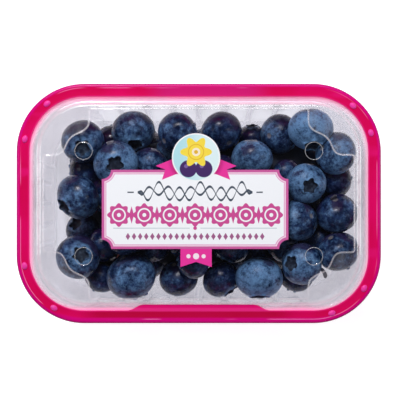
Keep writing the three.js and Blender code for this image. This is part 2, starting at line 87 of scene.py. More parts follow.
class Field:
    """A shader socket that is added, multiplied and compared like a number."""

    def __init__(self, tree, socket):
        self.tree = tree
        self.socket = socket

    def node(self, kind, settings, inputs, output=0):
        made = self.tree.nodes.new(kind)
        for name, value in settings.items():
            setattr(made, name, value)
        for key, value in inputs.items():
            if isinstance(value, Field):
                self.tree.links.new(value.socket, made.inputs[key])
            else:
                made.inputs[key].default_value = value
        return Field(self.tree, made.outputs[output])

    def maths(self, operation, *values):
        return self.node("ShaderNodeMath", {"operation": operation}, dict(enumerate(values)))

    def __add__(self, other):
        return self.maths("ADD", self, other)

    def __sub__(self, other):
        return self.maths("SUBTRACT", self, other)

    def __mul__(self, other):
        return self.maths("MULTIPLY", self, other)

    def __truediv__(self, other):
        return self.maths("DIVIDE", self, other)

    def __pow__(self, other):
        return self.maths("POWER", self, other)

    def __rsub__(self, other):
        return self.maths("SUBTRACT", other, self)

    def __abs__(self):
        return self.maths("ABSOLUTE", self)

    __radd__ = __add__
    __rmul__ = __mul__

    def min(self, other):
        return self.maths("MINIMUM", self, other)

    def max(self, other):
        return self.maths("MAXIMUM", self, other)

    def sine(self):
        return self.maths("SINE", self)

    def cosine(self):
        return self.maths("COSINE", self)

    def wrapped(self, pitch):
        """The signed distance to the nearest of the marks that stand a pitch apart."""
        cell = self / pitch
        return (cell - cell.maths("ROUND", cell)) * pitch

    def rise(self, low, high):
        """0 at low and 1 at high, with a smooth slope between."""
        settings = {"interpolation_type": "SMOOTHSTEP"}
        return self.node("ShaderNodeMapRange", settings, {"Value": self, "From Min": low, "From Max": high})

    def mix(self, none, full):
        """The colour none where the field is 0, and full where it is 1."""
        return self.node("ShaderNodeMix", {"data_type": "RGBA"}, {0: self, 6: none, 7: full}, 2)

    def axis(self, number):
        return self.node("ShaderNodeSeparateXYZ", {}, {0: self}, number)

    def noise(self, scale, detail=3.0, roughness=0.5):
        inputs = {"Vector": self, "Scale": scale, "Detail": detail, "Roughness": roughness}
        return self.node("ShaderNodeTexNoise", {}, inputs)

    def stretched(self, x, y, z):
        return self.node("ShaderNodeMapping", {}, {"Vector": self, "Scale": (x, y, z)})

    def attribute(self, name):
        return self.node("ShaderNodeAttribute", {"attribute_name": name}, {}, 2)

    def bump(self, strength, distance):
        return self.node("ShaderNodeBump", {}, {"Height": self, "Strength": strength, "Distance": distance})


def new_material(name):
    """A material with no nodes but its coordinates, which come back as a Field."""
    material = bpy.data.materials.new(name)
    material.use_nodes = True
    material.node_tree.nodes.clear()
    place = material.node_tree.nodes.new("ShaderNodeTexCoord").outputs["Object"]
    return material, Field(material.node_tree, place)


def principled(place, **inputs):
    named = {key.replace("_", " "): value for key, value in inputs.items()}
    return place.node("ShaderNodeBsdfPrincipled", {}, named)


def show(shader):
    """Joins a finished shader to its material's output."""
    output = shader.tree.nodes.new("ShaderNodeOutputMaterial")
    shader.tree.links.new(shader.socket, output.inputs["Surface"])


# The backdrop looks white to the camera and lights the scene only a little
world = bpy.data.worlds.new("studio")
world.use_nodes = True
backdrop = world.node_tree.nodes["Background"]
backdrop.inputs["Color"].default_value = (0.97, 0.97, 1.0, 1.0)
seen = Field(world.node_tree, world.node_tree.nodes.new("ShaderNodeLightPath").outputs["Is Camera Ray"])
world.node_tree.links.new((seen * BACKDROP_SEEN + BACKDROP_LIGHT).socket, backdrop.inputs["Strength"])
bpy.context.scene.world = world
bpy.context.scene.view_settings.view_transform = "Standard"

table, place = new_material("table_white")
show(principled(
    place,
    Base_Color=place.noise(30, 2.0).mix(ink(225, 225, 225), ink(232, 232, 232)),
    Roughness=0.8,
    Specular_IOR_Level=0.2,
    Emission_Color=ink(255, 254, 255),
    Emission_Strength=0.77,
))

floor_bm = bmesh.new()
bmesh.ops.create_grid(floor_bm, x_segments=1, y_segments=1, size=1.5)
bmesh.ops.translate(floor_bm, verts=floor_bm.verts, vec=(0, 0, -0.2 * MM))
floor_mesh = bpy.data.meshes.new("floor")
floor_bm.to_mesh(floor_mesh)
floor_bm.free()
floor_mesh.materials.append(table)
floor = bpy.data.objects.new("floor", floor_mesh)
bpy.context.scene.collection.objects.link(floor)

# The tray: one sheet of clear plastic drawn down into a mould. Its walls lean out and carry round-headed
# flutes, its floor is raised in the middle so that it stands on a flat ring, and a flange ends it.
TRAY_SHEET = 0.5 * MM
TRAY_FLOOR_X = 60.5 * MM
TRAY_FLOOR_Y = 34.5 * MM
TRAY_CORNER = 20 * MM
CORNER_OPENING = 0.5
FOOT_GROW = 2 * MM
FOOT_TOP = 2.5 * MM
WALL_GROW = 8.9 * MM
WALL_TOP = 36 * MM
FLANGE_GROW = 12.5 * MM
KICK_UP = 1.2 * MM
KICK_GROW = -10 * MM
FLUTE_DEPTH = 1.0 * MM
FLUTE_HALF = 4.3 * MM
FLUTE_HEAD = 26 * MM
FLUTE_EDGE = 2.2 * MM
LONG_FLUTES = 8
SHORT_FLUTES = 4
FOLD_ANGLE = 0.30
# Points along each long side, each short side and each corner
TRAY_STEPS = (112, 56, 14)


def clamped(value):
    return min(max(value, 0.0), 1.0)


def rounded(half_x, half_y, radius, steps_x, steps_y, steps_corner):
    """The points of a rounded rectangle, anticlockwise from the front end of its right side. Each is its
    place, its way out, the side it is on and how far along the straight of that side it stands."""
    points = []
    for side in range(4):
        upright = side % 2 == 0
        reach, run = (half_x, half_y - radius) if upright else (half_y, half_x - radius)
        turn = Matrix.Rotation(side * math.pi / 2, 2)
        steps = steps_y if upright else steps_x
        for i in range(steps):
            along = run * (2 * (i + 0.5) / steps - 1)
            points.append((turn @ Vector((reach, along)), turn @ Vector((1, 0)), side, along))
        for i in range(steps_corner + 1):
            angle = i / steps_corner * math.pi / 2
            out = Vector((math.cos(angle), math.sin(angle)))
            corner = Vector((reach - radius, run))
            points.append((turn @ (corner + radius * out), turn @ out, side, None))
    return points


def start_ring(bm, places):
    ring = bmesh.ops.create_circle(bm, segments=len(places), radius=1.0)["verts"]
    for vert, spot in zip(ring, places):
        vert.co = spot
    return ring


def ring_edges(bm, ring):
    return [bm.edges.get(pair) for pair in zip(ring, ring[1:] + ring[:1])]


def next_ring(bm, ring, places):
    """Extrudes a ring of edges and puts each new vertex at its place."""
    made = bmesh.ops.extrude_edge_only(bm, edges=ring_edges(bm, ring))["geom"]
    fresh = {v for v in made if isinstance(v, bmesh.types.BMVert)}
    ring = [next(e.other_vert(v) for e in v.link_edges if e.other_vert(v) in fresh) for v in ring]
    for vert, spot in zip(ring, places):
        vert.co = spot
    return ring


def mark_folds(bm):
    """Writes the attribute fold: how sharply a sheet bends at each vertex, from 0 for flat to 1."""
    fold = bm.verts.layers.float.new("fold")
    bm.normal_update()
    for vert in bm.verts:
        bend = max((vert.normal.angle(face.normal, 0.0) for face in vert.link_faces), default=0.0)
        vert[fold] = min(bend / FOLD_ANGLE, 1.0)


def make_piece(name, bm, materials, nodes=(), smooth_angle=40):
    """Turns a bmesh into an object that rides with the punnet and stands for the CAD nodes."""
    mesh = bpy.data.meshes.new(name)
    bm.to_mesh(mesh)
    bm.free()
    mesh.shade_smooth()
    mesh.set_sharp_from_angle(angle=math.radians(smooth_angle))
    for material in materials:
        mesh.materials.append(material)
    piece = bpy.data.objects.new(name, mesh)
    bpy.context.scene.collection.objects.link(piece)
    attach(piece, "root")
    if nodes:
        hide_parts(*nodes)
    return piece


def wall_grow(z):
    """How far the tray's wall stands outside its floor at height z."""
    return FOOT_GROW + (z - FOOT_TOP) / (WALL_TOP - FOOT_TOP) * (WALL_GROW - FOOT_GROW)


def flute_share(side, along, z, run):
    """How deep the wall's round-headed flutes are at a point, from 0 to 1."""
    if along is None or z < 0.1 * MM:
        return 0.0
    pitch = 2 * run / (SHORT_FLUTES if side % 2 == 0 else LONG_FLUTES)
    across = (along + run) % pitch - pitch / 2
    above = max(z - (FLUTE_HEAD - FLUTE_HALF), 0.0)
    inside = FLUTE_HALF - math.hypot(across, above)
    share = clamped(0.5 + inside / FLUTE_EDGE)
    return share * share * (3 - 2 * share) * min(z / FOOT_TOP, 1.0)


def tray_ring(grow, z):
    """A ring of the tray's section, with its flutes pushed in."""
    radius = TRAY_CORNER + CORNER_OPENING * grow
    half_x, half_y = TRAY_FLOOR_X + grow, TRAY_FLOOR_Y + grow
    places = []
    for spot, out, side, along in rounded(half_x, half_y, radius, *TRAY_STEPS):
        run = (half_y if side % 2 == 0 else half_x) - radius
        spot = spot - out * FLUTE_DEPTH * flute_share(side, along, z, run)
        places.append((spot.x, spot.y, z))
    return places


def mark_flutes(bm):
    """Writes how deep the wall's flutes are at each vertex as the attribute flute."""
    flute = bm.verts.layers.float.new("flute")
    for vert in bm.verts:
        x, y, z = vert.co
        grow = wall_grow(z)
        corner = TRAY_CORNER + CORNER_OPENING * grow
        run_x, run_y = TRAY_FLOOR_X + grow - corner, TRAY_FLOOR_Y + grow - corner
        if FOOT_TOP < z < WALL_TOP - 2 * MM:
            if abs(x) < run_x:
                vert[flute] = flute_share(1, -math.copysign(x, y), z, run_x)
            elif abs(y) < run_y:
                vert[flute] = flute_share(0, math.copysign(y, x), z, run_y)


def make_tray():
    section = [(2 * KICK_GROW, KICK_UP)]
    for share in (0.0, 0.3, 0.5, 0.7, 1.0):
        section.append((KICK_GROW + KICK_UP * (1 - share), KICK_UP * (1 + math.cos(math.pi * share)) / 2))
    for step in range(7):
        angle = step / 6 * math.pi / 2
        section.append((FOOT_GROW * math.sin(angle), FOOT_TOP * (1 - math.cos(angle))))
    wall_steps = 26
    for step in range(1, wall_steps + 1):
        z = FOOT_TOP + step / wall_steps * (WALL_TOP - 1.2 * MM - FOOT_TOP)
        section.append((wall_grow(z), z))
    section += [
        (WALL_GROW, WALL_TOP - 0.6 * MM),
        (WALL_GROW + 0.3 * MM, WALL_TOP - 0.15 * MM),
        (WALL_GROW + 0.8 * MM, WALL_TOP),
        (FLANGE_GROW, WALL_TOP),
    ]
    bm = bmesh.new()
    ring = start_ring(bm, tray_ring(*section[0]))
    bmesh.ops.triangle_fill(bm, edges=ring_edges(bm, ring), use_beauty=True)
    for grow, z in section[1:]:
        ring = next_ring(bm, ring, tray_ring(grow, z))
    bmesh.ops.recalc_face_normals(bm, faces=bm.faces)
    if min(bm.faces, key=lambda f: f.calc_center_median().z).normal.z > 0:
        bmesh.ops.reverse_faces(bm, faces=bm.faces)
    bmesh.ops.solidify(bm, geom=bm.faces, thickness=TRAY_SHEET)
    for vert in bm.verts:
        vert.co.z = max(vert.co.z, 0.0)
    mark_folds(bm)
    mark_flutes(bm)
    return bm


RING_OUTER_X = 75 * MM
RING_OUTER_Y = 49.3 * MM
RING_RADIUS = 28 * MM
RING_BAND = 5.35 * MM


def inside_edge(place):
    """How far a point stands inside the punnet's rounded outline, in millimetres."""
    x = (abs(place.axis(0)) / MM - (RING_OUTER_X - RING_RADIUS) / MM).max(0.0)
    y = (abs(place.axis(1)) / MM - (RING_OUTER_Y - RING_RADIUS) / MM).max(0.0)
    return RING_RADIUS / MM - (x * x + y * y) ** 0.5


def clear_sheet(name, tint, haze, frost, painted_glow_width, painted_fold_highlight):
    """Clear plastic: it passes light, and where it shows it is a shell that glows with painted light, with
    painted gleams edge-on, at folds and at flute edges, and the rim's pink beside it as a painted glow.
    """
    material, place = new_material(name)
    facing = place.node("ShaderNodeLayerWeight", {}, {"Blend": 0.5}, 1)
    fold = place.attribute("fold")
    flute = place.attribute("flute")
    depth = inside_edge(place)
    edge_on = facing.rise(0.52, 0.74)
    low = place.axis(2).rise(41.0 * MM, 40.6 * MM)
    # Painted shade: near the floor the sheet shows more of its grey shell, with random streaks, standing for
    # the pack's shadow on the table.
    foot = place.axis(2).rise(5 * MM, 2.5 * MM)
    streaks = place.stretched(1.0, 0.12, 1.0).noise(260, 2.0).rise(0.35, 0.75)
    back = place.axis(1).rise(36 * MM, 41 * MM)
    # Painted shade: the flutes' painted highlight fades on the front wall and at the two ends.
    painted_shade_front_and_ends = place.axis(1).rise(-30 * MM, -40 * MM).max(abs(place.axis(0)).rise(54 * MM, 60 * MM) * 0.75)
    flute_painted_highlight = flute * (1.0 - painted_shade_front_and_ends * 0.8)
    # Painted glow of the rim's pink on the clear sheet beside it: wider at the back, uneven, weaker at the
    # right and at the front corners, and only near the top.
    reach = back * painted_glow_width * 0.4 + RING_BAND / MM + painted_glow_width
    span = {"Value": depth, "From Min": reach, "From Max": RING_BAND / MM}
    painted_pink_glow = depth.node("ShaderNodeMapRange", {}, span)
    painted_pink_glow = painted_pink_glow * place.axis(2).rise(30 * MM, 35 * MM)
    right = place.axis(0).rise(45 * MM, 70 * MM)
    front_corner = abs(place.axis(0)).rise(42 * MM, 60 * MM) * place.axis(1).rise(-20 * MM, -34 * MM)
    uneven = place.noise(40, 1.0).rise(0.3, 0.7)
    painted_pink_glow = painted_pink_glow * (0.8 + uneven * 0.2) * (1.0 - right.max(front_corner * 1.6) * 0.3)
    # How much of the glowing shell shows: a faint haze, more edge-on, painted gleams at folds and flute
    # edges, painted shade at the tray's foot, frost on the lid's low corners and the painted pink glow.
    solid = haze + facing ** 5 * 0.45 + fold * fold * painted_fold_highlight + edge_on * (haze * 25 + flute_painted_highlight * 0.2)
    solid = solid + flute * (1.0 - flute) * 0.3 + foot * (0.13 + streaks * 0.10)
    solid = solid + low * frost * (0.4 + streaks * 0.6) + painted_pink_glow * 0.7
    pale = painted_pink_glow.mix(ink(236, 236, 240), ink(252, 138, 192))
    # The shell's colour and glow are painted light: grey, white at flutes and folds, and pink in the rim's
    # painted glow.
    painted_light_colour = flute_painted_highlight.max(fold * 0.5).mix(ink(124, 123, 126), ink(250, 250, 250))
    shell = principled(
        place,
        Base_Color=pale,
        Metallic=0.4 - painted_pink_glow * 0.4,
        Roughness=0.10,
        Emission_Color=painted_pink_glow.mix(painted_light_colour, ink(255, 140, 196)),
        Emission_Strength=0.42,
    )
    clear = place.node("ShaderNodeBsdfTransparent", {}, {"Color": tint})
    show(place.node("ShaderNodeMixShader", {}, {0: solid.min(1.0), 1: clear, 2: shell}))
    return material


tray_plastic = clear_sheet("clear_tray", ink(240, 240, 242), 0.012, 0.02, 0.5, 0.2)
make_piece("clear_tray", make_tray(), [tray_plastic], ["tray"])

# The rim: a stiff ring of hot pink plastic, moulded as an upside-down channel. It clips over both flanges
# with a bead inside its skirt, and has a wide pad at the middle of its front and two nubs at each corner.
RIM_TOP = 38.8 * MM
RIM_PLATE = 1.1 * MM
RIM_WALL = 1.1 * MM
RIM_DROP = 8 * MM
RIM_ROUND = 1.2 * MM
BEAD_REACH = 0.9 * MM
BEAD_HEIGHT = 1.4 * MM
PAD_HALF = 29 * MM
PAD_FLAT = 23 * MM
PAD_REACH = 2.4 * MM
NUB_RADIUS = 1.6 * MM
NUB_WIDTH = 1.2 * MM
NUB_HEIGHT = 0.8 * MM
NUB_INSET = 3 * MM
NUB_SUNK = 0.15 * MM
RIM_STEPS = (60, 16, 22)
NUB_ANGLES = {(1, 1): (18, 49), (-1, 1): (12, 52), (-1, -1): (10, 60), (1, -1): (33, 72)}


def rim_ring(inset, z, pad):
    """One ring of the rim. pad is the share of the pad's reach that this ring takes."""
    places = []
    half_x, half_y = RING_OUTER_X - inset, RING_OUTER_Y - inset
    for spot, out, side, along in rounded(half_x, half_y, RING_RADIUS - inset, *RIM_STEPS):
        if side == 3 and along is not None:
            share = clamped((PAD_HALF - abs(spot.x)) / (PAD_HALF - PAD_FLAT))
            spot.y += pad * PAD_REACH * share * share * (3 - 2 * share)
        places.append((spot.x, spot.y, z))
    return places


def rim_section():
    """The rim's section as inset, height and share of the pad, from the foot of the skirt up and round."""
    foot = RIM_TOP - RIM_DROP
    plate_foot = RIM_TOP - RIM_PLATE
    section = [
        (0.35 * MM, foot, 0),
        (0.08 * MM, foot + 0.35 * MM, 0),
        (0, foot + 1.2 * MM, 0),
        (0, RIM_TOP - 2.2 * MM, 0),
    ]
    for step in range(7):
        angle = step / 6 * math.pi / 2
        section.append((RIM_ROUND * (1 - math.cos(angle)), RIM_TOP - RIM_ROUND * (1 - math.sin(angle)), 0))
    for share in (0.2, 0.4, 0.6, 0.8, 0.92):
        inset = RIM_ROUND + share * (RING_BAND - RIM_ROUND)
        section.append((inset, RIM_TOP - 0.12 * MM * math.sin(share * math.pi), share))
    section += [
        (RING_BAND - 0.12 * MM, RIM_TOP - 0.06 * MM, 1),
        (RING_BAND, RIM_TOP - 0.3 * MM, 1),
        (RING_BAND, plate_foot + 0.2 * MM, 1),
        (RING_BAND - 0.2 * MM, plate_foot, 1),
        (RIM_WALL + 0.3 * MM, plate_foot, 0),
        (RIM_WALL, plate_foot - 0.3 * MM, 0),
        (RIM_WALL, foot + BEAD_HEIGHT, 0),
    ]
    for step in range(1, 6):
        angle = step / 6 * math.pi
        section.append((RIM_WALL + BEAD_REACH * math.sin(angle), foot + BEAD_HEIGHT * (1 - step / 6), 0))
    section.append((RIM_WALL - 0.2 * MM, foot, 0))
    return section


def make_rim():
    """The rim as one closed loft, with its nubs marked by the attribute nub."""
    bm = bmesh.new()
    nub = bm.verts.layers.float.new("nub")
    rings = []
    for inset, z, pad in rim_section():
        places = rim_ring(inset, z, pad)
        rings.append(next_ring(bm, rings[-1], places) if rings else start_ring(bm, places))
    first, last = rings[0], rings[-1]
    bmesh.ops.bridge_loops(bm, edges=ring_edges(bm, first) + ring_edges(bm, last))
    for (sign_x, sign_y), angles in NUB_ANGLES.items():
        for degrees in angles:
            angle = math.radians(degrees)
            reach = RING_RADIUS - NUB_INSET
            x = sign_x * (RING_OUTER_X - RING_RADIUS + reach * math.cos(angle))
            y = sign_y * (RING_OUTER_Y - RING_RADIUS + reach * math.sin(angle))
            turn = Matrix.Rotation(math.atan2(sign_y * math.sin(angle), sign_x * math.cos(angle)), 4, "Z")
            size = Matrix.Diagonal((NUB_WIDTH, NUB_RADIUS, NUB_HEIGHT, 1))
            shape = Matrix.Translation((x, y, RIM_TOP - NUB_SUNK)) @ turn @ size
            made = bmesh.ops.create_uvsphere(bm, u_segments=24, v_segments=12, radius=1.0, matrix=shape)
            for vert in made["verts"]:
                vert[nub] = 1.0
    bmesh.ops.recalc_face_normals(bm, faces=bm.faces)
    return bm


hot_pink, place = new_material("hot_pink_plastic")
depth = inside_edge(place)
height = place.axis(2)
mottle = place.noise(45, 2.0)
painted_highlight_streaks = place.stretched(0.25, 1.0, 1.0).noise(120, 2.0)
# Painted sheen on the rounded outer edge: brighter magenta there, wider along the front, and darker purple
# at the very rim.
painted_edge_sheen = depth.rise(1.7, 1.0).max(place.axis(1).rise(-44 * MM, -47.5 * MM) * depth.rise(2.8, 1.8))
# Painted highlight along the inner edge of the band's top.
painted_inner_edge_highlight = depth.rise(4.6, 5.3) * height.rise(36 * MM, 37.5 * MM)
pad_zone = place.axis(1).rise(-43.2 * MM, -42.6 * MM) * abs(place.axis(0)).rise(30 * MM, 27 * MM)
pad_zone = pad_zone * place.axis(1).rise(0.0, -1 * MM)
front_zone = place.axis(1).rise(-40 * MM, -44 * MM) * abs(place.axis(0) + 4 * MM).rise(50 * MM, 34 * MM)
# Painted reflection: a paler mauve patch on the back of the band.
painted_back_reflection = place.axis(1).rise(40 * MM, 44 * MM) * abs(place.axis(0) - 4 * MM).rise(28 * MM, 16 * MM)
flat = mottle.rise(0.35, 0.7).mix(ink(214, 0, 80), ink(226, 0, 98))
flat = (front_zone * 0.8).mix(flat, ink(184, 0, 54))
flat = (painted_back_reflection * 0.7).mix(flat, ink(206, 30, 122))
# Painted highlight streaks: lighter magenta streaks running along the band.
flat = (painted_highlight_streaks.rise(0.6, 0.75) * 0.7).mix(flat, ink(232, 16, 118))
colour = painted_edge_sheen.mix(flat, depth.rise(0.9, 0.2).mix(ink(216, 0, 124), ink(186, 0, 118)))
# A thin painted highlight line a little inside the outer edge, broken up by noise.
painted_highlight_line = abs(depth - 1.75).rise(0.22, 0.05) * place.noise(60, 1.0).rise(0.50, 0.62)
colour = (painted_highlight_line * 0.7).mix(colour, ink(250, 130, 196))
colour = painted_inner_edge_highlight.mix(colour, ink(236, 40, 130))
colour = pad_zone.mix(colour, ink(228, 10, 112))
# The nubs are painted lighter magenta, a painted highlight.
colour = place.attribute("nub").mix(colour, ink(242, 58, 166))
show(principled(
    place,
    Base_Color=colour,
    Roughness=0.2 + mottle * 0.10,
    Specular_IOR_Level=0.12,
    Coat_Weight=depth.rise(0.6, 1.8) * 0.25,
    Coat_Roughness=0.05,
    Normal=place.noise(90, 1.0).bump(0.08, 0.4 * MM),
))
make_piece("pink_rim", make_rim(), [hot_pink], ["rim"])

# The lid: a second clear sheet, with a flange under the rim, a raised panel for the sticker, four lower
# corners behind a scooped step, and a round vent punched at each corner of the panel.
LID_SHEET = 0.4 * MM
LID_FLANGE_TOP = 37.4 * MM
LID_CORNER_TOP = 40.4 * MM
LID_TOP = 42 * MM
LID_FLANGE_X = 72.9 * MM
LID_FLANGE_Y = 47.2 * MM
LID_FLANGE_RADIUS = 26 * MM
PANEL_X = 65.3 * MM
PANEL_Y = 40.5 * MM
PANEL_RADIUS = 19.5 * MM
PANEL_LEDGE = 0.8 * MM
VENT_X = 47.2 * MM
VENT_Y = 21.6 * MM
VENT_RADIUS = 3.5 * MM
VENT_GLEAM = 0.85
STEP_X = 45.6 * MM
STEP_Y = 20.6 * MM
SCOOP = 8.3 * MM
STEP_SPACING = 0.8 * MM
STEP_SMOOTHINGS = 5
LID_STEPS = (90, 42, 30)
LID_FOOT_GROW = 2.6 * MM
# The lid's side from its foot up: millimetres outside the panel, and share of the rise
LID_SIDE = ((1.6, 0.0), (1.15, 0.04), (0.85, 0.16), (0.65, 0.35), (0.45, 0.6), (0.25, 0.84),
            (-0.05, 0.96), (-0.45, 1.0), (-0.6, 1.0), (-0.7, 1.0))
# The step from its foot up: millimetres inside its outline, and share of the rise
STEP_SIDE = ((0.1, 0.0), (0.25, 0.0), (0.35, 0.06), (0.42, 0.22), (0.5, 0.5), (0.58, 0.78),
             (0.66, 0.94), (0.8, 1.0), (1.0, 1.0), (1.3, 1.0))
# The lip round a vent: share of the vent's radius, and millimetres up
VENT_LIP = ((1.1, 0.0), (1.06, 0.0), (1.04, 0.04), (1.02, 0.05), (1.0, 0.02))
VENT_STEPS = 40


def step_quarter():
    """The step round one corner of the panel, from its short side round the vent to its long side."""
    edge_x, edge_y = PANEL_X - PANEL_LEDGE, PANEL_Y - PANEL_LEDGE
    corners = [Vector((edge_x, 0)), Vector((edge_x, STEP_Y)), Vector((VENT_X + SCOOP + 1.4 * MM, STEP_Y))]
    for step in range(13):
        angle = math.radians(8 + 74 * step / 12)
        corners.append(Vector((VENT_X + SCOOP * math.cos(angle), VENT_Y + SCOOP * math.sin(angle))))
    corners += [Vector((STEP_X, VENT_Y + SCOOP + 2 * MM)), Vector((STEP_X, edge_y)), Vector((0, edge_y))]
    return corners


def panel_outline():
    """The raised panel's outline: the quarter step mirrored round, in even short steps, then softened."""
    quarter = step_quarter()
    back = quarter[::-1]
    corners = []
    for sign_x, sign_y, run in ((1, 1, quarter), (-1, 1, back), (-1, -1, quarter), (1, -1, back)):
        corners += [Vector((sign_x * p.x, sign_y * p.y)) for p in run[:-1]]
    points = []
    for a, b in zip(corners, corners[1:] + corners[:1]):
        steps = max(round((b - a).length / STEP_SPACING), 1)
        points += [a.lerp(b, i / steps) for i in range(steps)]
    for _ in range(STEP_SMOOTHINGS):
        before, after = points[-1:] + points[:-1], points[1:] + points[:1]
        points = [(p + 2 * q + r) / 4 for p, q, r in zip(before, points, after)]
    return points


def inset_outline(points, distance, z):
    """The outline moved in by a distance, at height z."""
    places = []
    for before, point, after in zip(points[-1:] + points[:-1], points, points[1:] + points[:1]):
        along = (after - before).normalized()
        places.append((point.x - along.y * distance, point.y + along.x * distance, z))
    return places


def lid_ring(grow, z):
    """A ring of the lid's side, grow outside the panel's foot."""
    radius = PANEL_RADIUS + grow
    return [(p.x, p.y, z) for p, *_ in rounded(PANEL_X + grow, PANEL_Y + grow, radius, *LID_STEPS)]


def make_lid():
    bm = bmesh.new()
    flange = rounded(LID_FLANGE_X, LID_FLANGE_Y, LID_FLANGE_RADIUS, *LID_STEPS)
    ring = start_ring(bm, [(p.x, p.y, LID_FLANGE_TOP) for p, *_ in flange])
    rise = LID_CORNER_TOP - LID_FLANGE_TOP
    ring = next_ring(bm, ring, lid_ring(LID_FOOT_GROW, LID_FLANGE_TOP))
    for grow, share in LID_SIDE:
        ring = next_ring(bm, ring, lid_ring(grow * MM, LID_FLANGE_TOP + share * rise))
    plateau_edge = ring
    outline = panel_outline()
    step_rise = LID_TOP - LID_CORNER_TOP
    first = start_ring(bm, inset_outline(outline, 0.0, LID_CORNER_TOP))
    bmesh.ops.triangle_fill(bm, edges=ring_edges(bm, plateau_edge) + ring_edges(bm, first), use_beauty=True)
    ring = first
    for inset, share in STEP_SIDE:
        ring = next_ring(bm, ring, inset_outline(outline, inset * MM, LID_CORNER_TOP + share * step_rise))
    edges = ring_edges(bm, ring)
    angles = [i / VENT_STEPS * 2 * math.pi for i in range(VENT_STEPS)]
    lips = []
    for sign_x in (-1, 1):
        for sign_y in (-1, 1):
            centre = Vector((sign_x * VENT_X, sign_y * VENT_Y, LID_TOP))
            rim = [centre + 1.3 * VENT_RADIUS * Vector((math.cos(a), math.sin(a), 0)) for a in angles]
            lips.append((start_ring(bm, rim), centre))
            edges += ring_edges(bm, lips[-1][0])
    bmesh.ops.triangle_fill(bm, edges=edges, use_beauty=True)
    for ring, centre in lips:
        for size, up in VENT_LIP:
            places = [centre + size * VENT_RADIUS * (v.co - centre).normalized() for v in ring]
            ring = next_ring(bm, ring, [(p.x, p.y, LID_TOP + up * MM) for p in places])
    bmesh.ops.recalc_face_normals(bm, faces=bm.faces)
    if max(bm.faces, key=lambda f: f.calc_area()).normal.z < 0:
        bmesh.ops.reverse_faces(bm, faces=bm.faces)
    bmesh.ops.solidify(bm, geom=bm.faces, thickness=LID_SHEET)
    mark_folds(bm)
    fold = bm.verts.layers.float["fold"]
    # The painted gleam at folds is weaker round the vents.
    for vert in bm.verts:
        if math.hypot(abs(vert.co.x) - VENT_X, abs(vert.co.y) - VENT_Y) < 1.2 * VENT_RADIUS:
            vert[fold] *= VENT_GLEAM
    return bm


lid_plastic = clear_sheet("clear_lid", ink(247, 247, 249), 0.0015, 0.07, 2.8, 0.3)
make_piece("clear_lid", make_lid(), [lid_plastic], ["lid"])

# The sticker: one die-cut sheet of satin paper with a ticket, a round badge, two ribbon ends and a tab.
# Its print is plain shapes: a plaited line, a row of rosettes, thin rules, lozenges, a flower and dots.
PAPER_BOTTOM = 42.05 * MM
PAPER_SHEET = 0.25 * MM
TICKET_X, TICKET_Y = -1.5 * MM, -2.4 * MM
TICKET_HALF_X, TICKET_HALF_Y = 38.2 * MM, 16.2 * MM
TICKET_NOTCH = 3.8 * MM
BADGE_X, BADGE_Y = -1.1 * MM, 18.9 * MM
BADGE_RADIUS = 9.9 * MM
RIBBON_REACH, RIBBON_TOP, RIBBON_NEAR = 16.6 * MM, 18.1 * MM, 9.6 * MM
RIBBON_NOTCH = (12.6 * MM, 13.9 * MM)
RIBBON_FOOT = (14 * MM, 9.7 * MM)
RIBBON_SLOPE = 2.7 * MM
RIBBON_HIDDEN = (7.7 * MM, 12.2 * MM)
TAB_HALF, TAB_DROP, TAB_NOTCH = 6.4 * MM, 7.4 * MM, 2.1 * MM


def sticker_outline():
    """The die-cut outline, as one list of corners and arc points, anticlockwise from the tab's left foot."""
    low = TICKET_Y - TICKET_HALF_Y
    points = [(BADGE_X - TAB_HALF, low - TAB_DROP), (BADGE_X, low - TAB_DROP + TAB_NOTCH)]
    points += [(BADGE_X + TAB_HALF, low - TAB_DROP), (BADGE_X + TAB_HALF, low)]
    points += notch_arc(1, -1) + notch_arc(1, 1)
    points += ribbon(1)
    points += badge_arc()
    points += ribbon(-1)[::-1]
    points += notch_arc(-1, 1) + notch_arc(-1, -1)
    points.append((BADGE_X - TAB_HALF, low))
    return points


def notch_arc(sign_x, sign_y):
    """The concave arc that takes one corner off the ticket."""
    centre_x, centre_y = TICKET_X + sign_x * TICKET_HALF_X, TICKET_Y + sign_y * TICKET_HALF_Y
    points = []
    for step in range(9):
        angle = step / 8 * math.pi / 2
        points.append((centre_x - sign_x * TICKET_NOTCH * math.cos(angle),
                       centre_y - sign_y * TICKET_NOTCH * math.sin(angle)))
    return points if sign_x * sign_y < 0 else points[::-1]


def ribbon(side):
    """One ribbon end above the ticket, from its foot round its notch to the badge."""
    top = TICKET_Y + TICKET_HALF_Y
    foot_x, foot_y = RIBBON_FOOT
    slope = (RIBBON_NOTCH[0] - foot_x) / (RIBBON_NOTCH[1] - foot_y)
    spots = [(foot_x + slope * (top - foot_y), top), RIBBON_NOTCH, (RIBBON_REACH, RIBBON_TOP - RIBBON_SLOPE)]
    spots.append((math.sqrt(BADGE_RADIUS ** 2 - (RIBBON_TOP - BADGE_Y) ** 2), RIBBON_TOP))
    return [(BADGE_X + side * x, y) for x, y in spots]


def badge_arc():
    start = math.asin((RIBBON_TOP - BADGE_Y) / BADGE_RADIUS)
    sweep = math.pi - 2 * start
    steps = 40
    angles = [start + sweep * i / steps for i in range(1, steps)]
    return [(BADGE_X + BADGE_RADIUS * math.cos(a), BADGE_Y + BADGE_RADIUS * math.sin(a)) for a in angles]


def make_sticker():
    bm = bmesh.new()
    ring = start_ring(bm, [(x, y, PAPER_BOTTOM + PAPER_SHEET) for x, y in sticker_outline()])
    bmesh.ops.triangle_fill(bm, edges=ring_edges(bm, ring), use_beauty=True)
    bmesh.ops.recalc_face_normals(bm, faces=bm.faces)
    if bm.faces[0].normal.z < 0:
        bmesh.ops.reverse_faces(bm, faces=bm.faces)
    bmesh.ops.solidify(bm, geom=bm.faces, thickness=PAPER_SHEET)
    return bm


